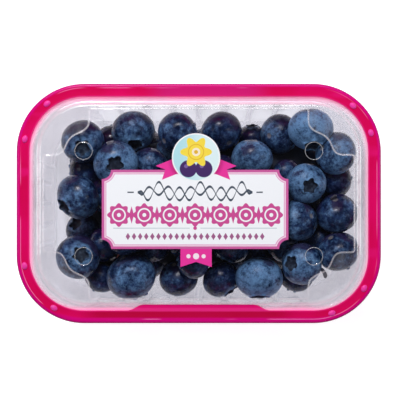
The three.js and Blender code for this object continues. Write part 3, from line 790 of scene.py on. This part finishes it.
PAPER_WHITE = ink(247, 249, 254)
BORDER_PINK = ink(205, 92, 160)
BORDER_PALE = ink(244, 214, 232)
LINE_PINK = ink(226, 150, 196)
LETTER_PINK = ink(205, 74, 148)
RIBBON_PINK = ink(234, 48, 156)
RIBBON_SHADE = ink(196, 26, 124)
DOT_PALE = ink(250, 232, 244)
SLATE = ink(62, 74, 90)
RULE_GREY = ink(188, 202, 210)
MAUVE = ink(160, 92, 138)
BADGE_BLUE = ink(178, 224, 234)
BADGE_PALE = ink(222, 242, 246)
BADGE_WHITE = ink(246, 249, 252)
FLOWER_YELLOW = ink(248, 220, 70)
FLOWER_GOLD = ink(226, 176, 40)
FLOWER_CREAM = ink(250, 236, 214)
FRUIT_NAVY = ink(64, 34, 98)
FRUIT_LIGHT = ink(120, 96, 160)
SOFT_EDGE = 0.12
# Sizes of the print in millimetres
PLAIT_HALF = 23.5
ROSETTE_PITCH = 10.4
ROSETTES_HALF = 36
DIAMONDS_HALF = 33
LOZENGE_PITCH = 2.5
LOZENGES_HALF = 28.6
FRUIT_OUT = 3.2

paper, place = new_material("printed_paper")
x = (place.axis(0) - TICKET_X) / MM
y = (place.axis(1) - TICKET_Y) / MM


def inked(distance, under, over):
    """The colour over where the distance in millimetres is below 0, with a soft printed edge."""
    return distance.rise(SOFT_EDGE, -SOFT_EDGE).mix(under, over)


def length(a, b):
    return (a * a + b * b) ** 0.5


half_x, half_y, notch = TICKET_HALF_X / MM, TICKET_HALF_Y / MM, TICKET_NOTCH / MM
corner_gap = length(abs(x) - half_x, abs(y) - half_y)
ticket = (abs(x) - half_x).max(abs(y) - half_y).max(notch - corner_gap)

# The layers of print, from the lowest up: a distance that is below 0 inside each shape, and its ink
layers = [(ticket + 1.05, BORDER_PALE), (ticket + 1.55, LINE_PINK), (ticket + 1.85, PAPER_WHITE)]

# Plaited slate line with a dash at each end
reach = abs(x).rise(PLAIT_HALF, 20.0)
wave = (x * 0.74).sine() * 3.1 * reach
swing = (x * 0.37 + 0.7).sine() * 1.1 * reach
plait_y = y - 7.0
thick = 0.34 + abs((x * 0.37).sine()) * 0.2
plait = abs(plait_y - wave - swing).min(abs(plait_y + wave * 0.7 - swing)) - thick
dash = (abs(abs(x) - 26.4) - 1.3).max(abs(plait_y) - 0.28)
layers += [(plait.max(abs(x) - PLAIT_HALF), SLATE), (dash, SLATE)]

# Row of pink rosettes with a diamond between each two
rosette_y = y + 2.3
offset = x.wrapped(ROSETTE_PITCH)
radius = length(offset, rosette_y)
petals = (offset.maths("ARCTAN2", rosette_y, offset) * 8).cosine()
row_end = abs(x) - ROSETTES_HALF
layers.append(((radius - (4.35 + petals * 0.5)).max(row_end), LETTER_PINK))
layers.append(((abs(radius - 2.55) - 0.3).max(row_end), PAPER_WHITE))
layers.append(((radius - 0.8).max(row_end), PAPER_WHITE))
diamond_x = (x + ROSETTE_PITCH / 2).wrapped(ROSETTE_PITCH)
diamond = (abs(diamond_x) * 1.5 + abs(rosette_y) * 0.42 - 1.5).max(abs(x) - DIAMONDS_HALF)
layers.append((diamond, LETTER_PINK))

# Thin rules with a dot between them, and a row of lozenges
rule_y = y + 7.7
rule = (abs(rule_y) - 0.16).max(abs(x) - 33.5).max(2.2 - abs(x))
small_x = x.wrapped(LOZENGE_PITCH)
lozenge = (abs(small_x) * 1.2 + abs(y + 11.1) * 0.75 - 1.1).max(abs(x) - LOZENGES_HALF)
layers += [(rule, RULE_GREY), (length(x, rule_y) - 0.75, LETTER_PINK), (lozenge, MAUVE)]

# Tab with three dots
badge_x = x - (BADGE_X - TICKET_X) / MM
tab_y = y + half_y
dots = length(abs(badge_x) - 3.1, tab_y + 3.0) - 0.85
dots = dots.min(length(badge_x, tab_y + 3.0) - 1.25)
layers += [(tab_y, RIBBON_PINK), (dots, DOT_PALE)]

# Ribbon ends behind the badge
badge_radius = BADGE_RADIUS / MM
badge_y = y - (BADGE_Y - TICKET_Y) / MM
badge_gap = length(badge_x, badge_y)
ribbon_colour = badge_gap.rise(badge_radius + 2.6, badge_radius).mix(RIBBON_PINK, RIBBON_SHADE)
layers.append((half_y - y, ribbon_colour))
across = abs(badge_x)
up = badge_y + BADGE_Y / MM


def side_of(start, end):
    """Distance to the right of the line from start to end, in the ribbon's own across and up."""
    run, rise = end[0] - start[0], end[1] - start[1]
    span = math.hypot(run, rise)
    return (across - start[0]) * (rise / span) - (up - start[1]) * (run / span)


tip = (RIBBON_REACH / MM, (RIBBON_TOP - RIBBON_SLOPE) / MM)
inner = (RIBBON_NEAR / MM, RIBBON_TOP / MM)
notch_point = tuple(c / MM for c in RIBBON_NOTCH)
foot_point = tuple(c / MM for c in RIBBON_FOOT)
hidden_point = tuple(c / MM for c in RIBBON_HIDDEN)
swallow = side_of(notch_point, tip).min(side_of(foot_point, notch_point))
ribbon_shape = side_of(tip, inner).max(side_of(hidden_point, foot_point)).max(swallow)
layers.append((ribbon_shape, ribbon_colour))

# Badge with a flower over two round fruits
badge_field = badge_gap - (badge_radius - 0.55)
sky = badge_x.rise(-7.0, 6.0).mix(BADGE_BLUE, BADGE_PALE)
layers += [(badge_gap - badge_radius, BADGE_WHITE), (badge_field, sky)]
for side in (-1, 1):
    fruit = length(badge_x - side * FRUIT_OUT, badge_y + 4.7) - 3.5
    shine = length(badge_x - side * FRUIT_OUT + 0.9, badge_y + 3.6) - 0.8
    layers += [(fruit.max(badge_field), FRUIT_NAVY), (shine, FRUIT_LIGHT)]
flower_y = badge_y - 2.2
flower_gap = length(badge_x, flower_y)
petals = (badge_x.maths("ARCTAN2", flower_y, badge_x) * 6).cosine()
layers.append((flower_gap - (5.3 + petals * 1.2), FLOWER_YELLOW))
layers.append((abs(flower_gap - 3.1) - 0.16, FLOWER_GOLD))
layers += [(flower_gap - 1.7, FLOWER_CREAM), (flower_gap - 0.8, FLOWER_GOLD)]

print_colour = BORDER_PINK
for distance, over in layers:
    print_colour = inked(distance, print_colour, over)

fibre = place.noise(900, 4.0)
show(principled(
    place,
    Base_Color=print_colour,
    Roughness=0.42 + fibre * 0.12,
    Specular_IOR_Level=0.3,
    Normal=fibre.bump(0.06, 0.05 * MM),
))
make_piece("printed_sticker", make_sticker(), [paper], ["sticker"])

# The blueberries: a heap of about seventy, each an uneven ball with a torn five-lobed crown round a pit at
# one end and a small stem scar at the other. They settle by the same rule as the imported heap.
# The berries seen from above: x, y, width, height, the crown's compass angle and tilt in degrees, and bloom
SEEN_BERRIES = [
    (-48.1, 25.7, 17.2, 29.3, -90, 22, 0.45),
    (-50.1, 2.7, 18.0, 30.6, 215, 62, 0.50),
    (-27.3, 30.3, 17.2, 24.4, -85, 52, 0.55),
    (-34.3, 16.8, 18.0, 31.1, -90, 6, 0.68),
    (-20.4, 16.0, 14.8, 25.2, 60, 130, 0.50),
    (-11.3, 21.7, 14.0, 16.8, 150, 140, 0.50),
    (-8.6, 29.2, 16.8, 31.6, 30, 120, 0.40),
    (9.4, 30.0, 16.8, 25.1, 123, 129, 0.30),
    (22.1, 18.7, 16.4, 28.5, 80, 125, 0.70),
    (33.8, 29.1, 16.0, 21.5, 10, 140, 0.55),
    (46.4, 30.7, 18.2, 31.0, -85, 60, 0.90),
    (57.1, 20.9, 17.2, 29.5, -20, 125, 0.60),
    (44.5, 8.2, 16.0, 32.0, -40, 14, 0.80),
    (41.1, -7.0, 16.4, 30.8, 200, 130, 0.55),
    (57.3, -4.1, 16.8, 30.1, -80, 130, 0.40),
    (57.9, -19.9, 16.8, 31.3, -60, 118, 0.45),
    (42.6, -25.0, 16.6, 31.7, 175, 40, 0.60),
    (25.1, -30.9, 18.8, 30.1, -90, 76, 0.85),
    (9.3, -31.7, 15.2, 24.9, -53, 78, 0.35),
    (-2.0, -23.4, 14.8, 32.5, 170, 100, 0.25),
    (-8.4, -31.2, 15.8, 23.0, -70, 125, 0.40),
    (-28.0, -30.9, 20.0, 30.0, -65, 108, 0.55),
    (-50.1, -22.2, 17.4, 31.4, 40, 16, 0.50),
    (-19.2, -18.2, 13.2, 22.5, 100, 120, 0.35),
    (-47.3, 14.0, 14.8, 19.7, 180, 110, 0.15),
    (-36.7, 26.0, 14.8, 13.5, 90, 120, 0.10),
    (22.4, 28.0, 11.6, 15.0, 90, 72, 0.15),
    (58.0, 10.2, 15.6, 21.0, 0, 115, 0.20),
    (36.5, 12.7, 11.6, 22.7, 120, 130, 0.35),
    (40.9, -30.5, 14.0, 18.4, -100, 110, 0.15),
    (-41.1, -30.8, 13.6, 19.2, -120, 112, 0.30),
    (-48.5, -11.0, 14.8, 15.5, 140, 40, 0.35),
    (-39.4, -17.3, 14.0, 22.5, 200, 135, 0.20),
    (26.3, -20.1, 14.8, 13.5, 60, 118, 0.25),
    (35.3, -17.4, 14.0, 21.8, 20, 125, 0.30),
]
# Berries under the sticker and between the others, in rows: y, starting height, width and the x of each
COVERED_ROWS = [
    (0.3, 28.0, 16.2, (-33, -16.8, 0.1, 17, 30.5)),
    (15.6, 21.0, 15.2, (-1.5, 10.5)),
    (-10.8, 28.0, 15.4, (-25.8, -9.4, 7.9)),
    (21.5, 19.0, 15.0, (33.5,)),
]
# Berries on the floor, in staggered rows: y and count
FLOOR_ROWS = [(-25.5, 7), (-8.7, 6), (8.7, 7), (25.5, 6)]
FLOOR_PITCH = 17.6
FLOOR_START = 9.5
FLOOR_SCATTER = 1.0
FLOOR_WIDTH = 16.0
FLOOR_SPREAD = 2.4
# The bloom of the berries that don't show, kept low so that they read dark: part bloom, part painted shade
HIDDEN_BLOOM_AND_SHADE = 0.28
SEED = 7
BERRY_FLOOR = 2.2
BERRY_LID = 39.5
SETTLE_STEPS = 260
SINK = 0.12
TOUCH = 0.955
FIRM = 0.93
HIDDEN_INSET = 4.0
HEAP_GAP = 1.9


class Berry:
    """One berry, in millimetres, while the heap settles."""

    def __init__(self, x, y, z, width, fixed, azimuth, tilt, bloom):
        self.x, self.y, self.z = x, y, z
        self.r = width / 2
        self.home = (x, y, z) if fixed else None
        self.azimuth, self.tilt = azimuth, tilt
        self.bloom = bloom


def drawn(seed):
    """An endless row of seeded random numbers from 0 to 1."""
    state = seed
    while True:
        state = (state * 16807) % 2147483647
        yield state / 2147483647


def start_berries(draw):
    berries = []
    for x, y, width, z, azimuth, tilt, bloom in SEEN_BERRIES:
        berries.append(Berry(x, y, z, width, True, azimuth, tilt, bloom))
    for y, z, width, places in COVERED_ROWS:
        for x in places:
            azimuth, tilt = 360 * next(draw), 180 * next(draw)
            berries.append(Berry(x, y, z, width, False, azimuth, tilt, HIDDEN_BLOOM_AND_SHADE))
    for y, count in FLOOR_ROWS:
        for i in range(count):
            x = (i - (count - 1) / 2) * FLOOR_PITCH + 2 * FLOOR_SCATTER * next(draw) - FLOOR_SCATTER
            shifted = y + 2 * FLOOR_SCATTER * next(draw) - FLOOR_SCATTER
            width = FLOOR_WIDTH + FLOOR_SPREAD * next(draw)
            azimuth, tilt = 360 * next(draw), 180 * next(draw)
            berries.append(Berry(x, shifted, FLOOR_START, width, False, azimuth, tilt, HIDDEN_BLOOM_AND_SHADE))
    return berries


def heap_half(z):
    """The heap's half sizes and corner radius inside the flutes at height z, in millimetres."""
    grow = wall_grow(z * MM) / MM
    half_x = TRAY_FLOOR_X / MM + grow - HEAP_GAP
    half_y = TRAY_FLOOR_Y / MM + grow - HEAP_GAP
    return half_x, half_y, TRAY_CORNER / MM + CORNER_OPENING * grow


def push_apart(berries):
    for i, a in enumerate(berries):
        for b in berries[i + 1:]:
            dx, dy, dz = b.x - a.x, b.y - a.y, b.z - a.z
            need = (a.r + b.r) * TOUCH
            squared = dx * dx + dy * dy + dz * dz
            if squared < need * need:
                distance = math.sqrt(squared)
                push = (0.5 * (need - distance)) / distance
                a.x -= dx * push
                a.y -= dy * push
                a.z -= dz * push
                b.x += dx * push
                b.y += dy * push
                b.z += dz * push


def keep_inside(b):
    b.z = min(max(b.z, BERRY_FLOOR + FIRM * b.r), BERRY_LID - FIRM * b.r)
    half_x, half_y, corner = heap_half(b.z)
    inset = b.r if b.home else b.r + HIDDEN_INSET
    hx, hy, radius = half_x - inset, half_y - inset, corner - b.r
    ax, ay = abs(b.x), abs(b.y)
    ex, ey = ax - hx + radius, ay - hy + radius
    if ex > 0 and ey > 0:
        reach = max(math.sqrt(ex * ex + ey * ey), radius)
        ax = hx - radius + (ex * radius) / reach
        ay = hy - radius + (ey * radius) / reach
    b.x = math.copysign(min(ax, hx), b.x)
    b.y = math.copysign(min(ay, hy), b.y)


def settle(berries):
    """Berries sink, touch and push each other apart. Those seen from above stay at their places."""
    for step in range(SETTLE_STEPS):
        for b in berries:
            b.z -= SINK * (1 - step / SETTLE_STEPS)
        push_apart(berries)
        for b in berries:
            if b.home:
                b.x, b.y, b.z = b.home
            keep_inside(b)
    return berries


FLATNESS = 0.88
BERRY_STEPS = 45
CROWN_FOOT = 0.80
# How strongly the back of each berry is painted bare and purple, as painted shade
PAINTED_BACK_SHADE = 0.5
FULLNESS = 1.05
BODY_STEPS = 16
# Half sections of the stem scar and of the crown with its pit, on a berry of radius 1
SCAR_SECTION = [(0, -0.835), (0.05, -0.832), (0.09, -0.84), (0.125, -0.862), (0.17, -0.862)]
CROWN_SECTION = [(0.43, 0.785), (0.405, 0.80), (0.39, 0.83), (0.375, 0.855), (0.35, 0.855), (0.335, 0.82),
                 (0.32, 0.77), (0.30, 0.71), (0.26, 0.67), (0.19, 0.655), (0.10, 0.655), (0, 0.66)]
CROWN_INNER = 0.15
CROWN_OUTER = 0.46
LAYERS = ("pit", "ring", "scar", "bloom", "rub_and_shade")


def berry_profile():
    """Half section of a berry of radius 1, from the stem scar round to the bottom of the pit."""
    body = []
    for step in range(BODY_STEPS + 1):
        angle = math.radians(-76 + 138 * step / BODY_STEPS)
        body.append((math.cos(angle), FLATNESS * math.sin(angle)))
    return SCAR_SECTION + body + CROWN_SECTION


def make_berry_mould():
    """One even berry of radius 1 with its crown up, and its parts marked for colour."""
    bm = bmesh.new()
    verts = [bm.verts.new((x, 0, z)) for x, z in berry_profile()]
    edges = [bm.edges.new(pair) for pair in zip(verts, verts[1:])]
    bmesh.ops.spin(bm, geom=verts + edges, cent=(0, 0, 0), axis=(0, 0, 1), angle=2 * math.pi,
                   steps=BERRY_STEPS, use_merge=True)
    bmesh.ops.remove_doubles(bm, verts=bm.verts, dist=1e-5)
    bmesh.ops.recalc_face_normals(bm, faces=bm.faces)
    pit, ring, scar, *_ = [bm.verts.layers.float.new(layer) for layer in LAYERS]
    for vert in bm.verts:
        rho, z = math.hypot(vert.co.x, vert.co.y), vert.co.z
        if z > 0:
            vert[pit] = clamped((0.365 - rho) / 0.04)
            vert[ring] = clamped(1 - abs(rho - 0.42) / 0.13)
        else:
            vert[scar] = clamped((0.14 - rho) / 0.03)
    mesh = bpy.data.meshes.new("berry_mould")
    bm.to_mesh(mesh)
    bm.free()
    return mesh


def tear_crown(verts, phase, ragged, tall):
    """Turns the even crown into a torn star of five lobes, and leaves the rest of the berry as it is."""
    for vert in verts:
        rho, z = math.hypot(vert.co.x, vert.co.y), vert.co.z
        if z < 0.6 or not CROWN_INNER < rho < CROWN_OUTER:
            continue
        angle = math.atan2(vert.co.y, vert.co.x)
        tear = noise.noise(Vector((math.cos(angle), math.sin(angle), ragged)) * 3.1)
        lobe = math.cos(5 * (angle + phase + 0.25 * tear))
        reach = min((rho - CROWN_INNER) / 0.15, 1.0) * min((CROWN_OUTER - rho) / 0.05, 1.0)
        spread = 1 + reach * (0.17 * lobe + 0.10 * tear)
        vert.co.x *= spread
        vert.co.y *= spread
        if z > CROWN_FOOT:
            vert.co.z = CROWN_FOOT + (z - CROWN_FOOT) * (0.55 + 0.45 * lobe + 0.5 * tear) * tall


def facing_turn(berry):
    """The turn that points a berry's crown the way it lies."""
    azimuth, tilt = math.radians(berry.azimuth), math.radians(berry.tilt)
    way = Vector((math.sin(tilt) * math.cos(azimuth), math.sin(tilt) * math.sin(azimuth), math.cos(tilt)))
    return way.to_track_quat("Z", "Y").to_matrix()


def press(point, neighbours):
    """Flattens a berry where a neighbour or the pack stops it."""
    for spot, normal in neighbours:
        over = (point - spot).dot(normal)
        if over > 0:
            point = point - normal * over
    point.z = min(max(point.z, BERRY_FLOOR * MM), (BERRY_LID + 0.1) * MM)
    half_x, half_y, corner = (value * MM for value in heap_half(point.z / MM))
    ax, ay = abs(point.x), abs(point.y)
    ex, ey = ax - half_x + corner, ay - half_y + corner
    if ex > 0 and ey > 0:
        reach = math.hypot(ex, ey)
        if reach > corner:
            ax, ay = half_x - corner + ex * corner / reach, half_y - corner + ey * corner / reach
    point.x = math.copysign(min(ax, half_x), point.x)
    point.y = math.copysign(min(ay, half_y), point.y)
    return point


def add_berry(bm, mould, berry, berries, draw):
    """Adds one uneven, settled berry to the heap."""
    start = len(bm.verts)
    bm.from_mesh(mould)
    bm.verts.ensure_lookup_table()
    verts = [bm.verts[i] for i in range(start, len(bm.verts))]
    seed, phase, tall = 100 * next(draw), 6.28 * next(draw), 0.7 + 0.6 * next(draw)
    tear_crown(verts, phase, seed, tall)
    turn = facing_turn(berry)
    centre = Vector((berry.x, berry.y, berry.z)) * MM
    contacts = []
    for other in berries:
        way = Vector((other.x, other.y, other.z)) * MM - centre
        if other is not berry and way.length < (berry.r + other.r) * MM:
            share = berry.r / (berry.r + other.r)
            contacts.append((centre + way * share, way.normalized()))
    bloom, rub_and_shade = bm.verts.layers.float["bloom"], bm.verts.layers.float["rub_and_shade"]
    for vert in verts:
        way = vert.co.normalized()
        swell = FULLNESS + 0.035 * noise.noise(way * 1.2 + Vector((seed, 0, 0)))
        swell += 0.010 * noise.noise(way * 4 + Vector((0, seed, 0)))
        # Bloom rubbed off at random, plus painted shade: the back of each berry is marked bare and purple.
        vert[rub_and_shade] = 0.6 * noise.noise(way * 1.1 + Vector((0, 0, seed))) + PAINTED_BACK_SHADE * (turn @ way).y
        vert.co = press(centre + turn @ (vert.co * swell * berry.r * MM), contacts)
        vert[bloom] = berry.bloom


berries = settle(start_berries(drawn(SEED)))
mould = make_berry_mould()
shape_draw = drawn(SEED + 4)
heaps = {"berries_seen": berries[:len(SEEN_BERRIES)], "berries_below": berries[len(SEEN_BERRIES):]}

BLOOM_BLUE = (0.009, 0.032, 0.112, 1.0)
BLOOM_PALE = (0.150, 0.310, 0.540, 1.0)
SKIN_NAVY = (0.001, 0.005, 0.027, 1.0)
SKIN_PURPLE = (0.019, 0.006, 0.038, 1.0)
PIT_DARK = (0.004, 0.009, 0.024, 1.0)
PIT_BLUE = (0.034, 0.055, 0.090, 1.0)
SCAR_TAN = (0.200, 0.180, 0.170, 1.0)

skin, place = new_material("berry_skin")
bloom = place.attribute("bloom")
pit = place.attribute("pit")
ring = place.attribute("ring")
scar = place.attribute("scar")
clouds = place.noise(150, 3.0, 0.6)
patches = place.noise(300, 5.0, 0.7)
specks = place.noise(1100, 3.0, 0.7)
flecks = place.noise(620, 4.0, 0.75)
# Bare skin where the bloom is rubbed off at random, and painted shade on the back of each berry, which turns
# bare and purple.
rubbed_and_shaded = (place.attribute("rub_and_shade") + (patches - 0.5) * 0.9 - bloom * 0.4).rise(0.0, 0.26)
cover = (patches * 0.7 + clouds * 0.5 + bloom * 0.30).rise(0.52, 0.86) * (1.0 - rubbed_and_shaded * 0.85)
bare = (clouds.rise(0.42, 0.62) * 0.4 + rubbed_and_shaded * 0.6).mix(SKIN_NAVY, SKIN_PURPLE)
waxy = ((bloom - 0.5) * 0.28 + flecks * 0.65 + clouds * 0.35).rise(0.41, 0.68).mix(BLOOM_BLUE, BLOOM_PALE)
colour = (cover * 0.92).mix(bare, waxy)
colour = (specks.rise(0.55, 0.68) * 0.6).mix(colour, SKIN_NAVY)
colour = (ring * patches.rise(0.32, 0.58) * (0.45 + 0.45 * bloom)).mix(colour, BLOOM_PALE)
colour = pit.mix(colour, place.noise(600, 3.0).rise(0.4, 0.7).mix(PIT_DARK, PIT_BLUE))
colour = (scar * 0.7).mix(colour, SCAR_TAN)
skin_bump = patches * 0.4 + specks * 0.35
show(principled(
    place,
    Base_Color=colour,
    Roughness=0.17 + cover * 0.26 + pit * 0.3,
    Specular_IOR_Level=0.26,
    Normal=skin_bump.bump(0.5, 0.25 * MM),
))

for name, group in heaps.items():
    bm = bmesh.new()
    for layer in LAYERS:
        bm.verts.layers.float.new(layer)
    for berry in group:
        add_berry(bm, mould, berry, berries, shape_draw)
    make_piece(name, bm, [skin], ["berries"] if name == "berries_seen" else [], 70)
bpy.data.meshes.remove(mould)

# Bits of stalk caught among the berries: two dark stubs near the front right and a thin dry reddish curl
# over a berry near the front left. Each is a short bent rod, thicker at its broken end.
STALK_SIDES = 8
STALK_LIFT = 0.4
STALKS = [
    # middle x, y, z, way along in degrees, length, thickness, bend
    (51.3, -28.6, 33.5, -60, 5.2, 0.8, 0.5),
    (55.6, 2.4, 35.0, 35, 3.4, 0.6, 0.3),
    (-31.6, -21.8, 33.2, 20, 5.0, 0.35, 1.5),
]


def add_stalk(bm, x, y, z, degrees, length, thickness, bend):
    """A bent rod with rounded ends, humped up in its middle."""
    along = Vector((math.cos(math.radians(degrees)), math.sin(math.radians(degrees)), 0))
    side = Vector((-along.y, along.x, 0))
    ring = None
    for step in range(13):
        share = step / 12 * 2 - 1
        hump = (side + Vector((0, 0, STALK_LIFT))) * bend * (1 - share ** 2)
        middle = Vector((x, y, z)) + along * share * length / 2 + hump
        radius = thickness * math.sqrt(max(1 - abs(share) ** 6, 0.05)) * (1 + 0.25 * share)
        places = []
        for i in range(STALK_SIDES):
            angle = i / STALK_SIDES * 2 * math.pi
            spot = middle + radius * (math.cos(angle) * side + math.sin(angle) * Vector((0, 0, 1)))
            places.append(spot * MM)
        if ring is None:
            ring = start_ring(bm, places)
            bmesh.ops.contextual_create(bm, geom=ring_edges(bm, ring))
        else:
            ring = next_ring(bm, ring, places)
    bmesh.ops.contextual_create(bm, geom=ring_edges(bm, ring))


stalk_bark, place = new_material("dry_stalk")
dryness = place.axis(0).rise(-10 * MM, 10 * MM)
show(principled(
    place,
    Base_Color=dryness.mix(ink(150, 84, 74), ink(38, 36, 52)),
    Roughness=0.6,
    Normal=place.noise(1500, 2.0).bump(0.3, 0.1 * MM),
))
bm = bmesh.new()
for row in STALKS:
    add_stalk(bm, *row)
bmesh.ops.recalc_face_normals(bm, faces=bm.faces)
make_piece("stalk_bits", bm, [stalk_bark], ["berries"])

# The dark middle of the heap, where the berries lie too deep to be told apart. It is no real piece: a plain
# rounded block stands in for the fruit there, coloured near black as painted shade, and stops light from
# shining through between the berries.
CORE_BOTTOM = 8 * MM
CORE_TOP = 19 * MM
CORE_INSET = 11 * MM
CORE_CHAMFER = 4 * MM
CORE_CORNER = 9 * MM
CORE_STEPS = (20, 10, 8)


def make_core():
    """A rounded block inside the heap, from its foot up."""
    bm = bmesh.new()
    ring = None
    for step in range(13):
        angle = math.pi * (step / 12 - 0.5)
        z = (CORE_BOTTOM + CORE_TOP) / 2 + (CORE_TOP - CORE_BOTTOM) / 2 * math.sin(angle)
        half_x, half_y, _ = (value * MM for value in heap_half(z / MM))
        inset = CORE_INSET + CORE_CHAMFER * (1 - math.cos(angle))
        outline = rounded(half_x - inset, half_y - inset, CORE_CORNER, *CORE_STEPS)
        places = [(p.x, p.y, z) for p, *_ in outline]
        if ring is None:
            ring = start_ring(bm, places)
            bmesh.ops.triangle_fill(bm, edges=ring_edges(bm, ring), use_beauty=True)
        else:
            ring = next_ring(bm, ring, places)
    bmesh.ops.triangle_fill(bm, edges=ring_edges(bm, ring), use_beauty=True)
    bmesh.ops.recalc_face_normals(bm, faces=bm.faces)
    return bm


shade, place = new_material("heap_shade")
show(principled(
    place,
    Base_Color=place.noise(150, 3.0).mix(PIT_DARK, SKIN_NAVY),
    Roughness=0.7,
))
make_piece("heap_core", make_core(), [shade], ["berries"])
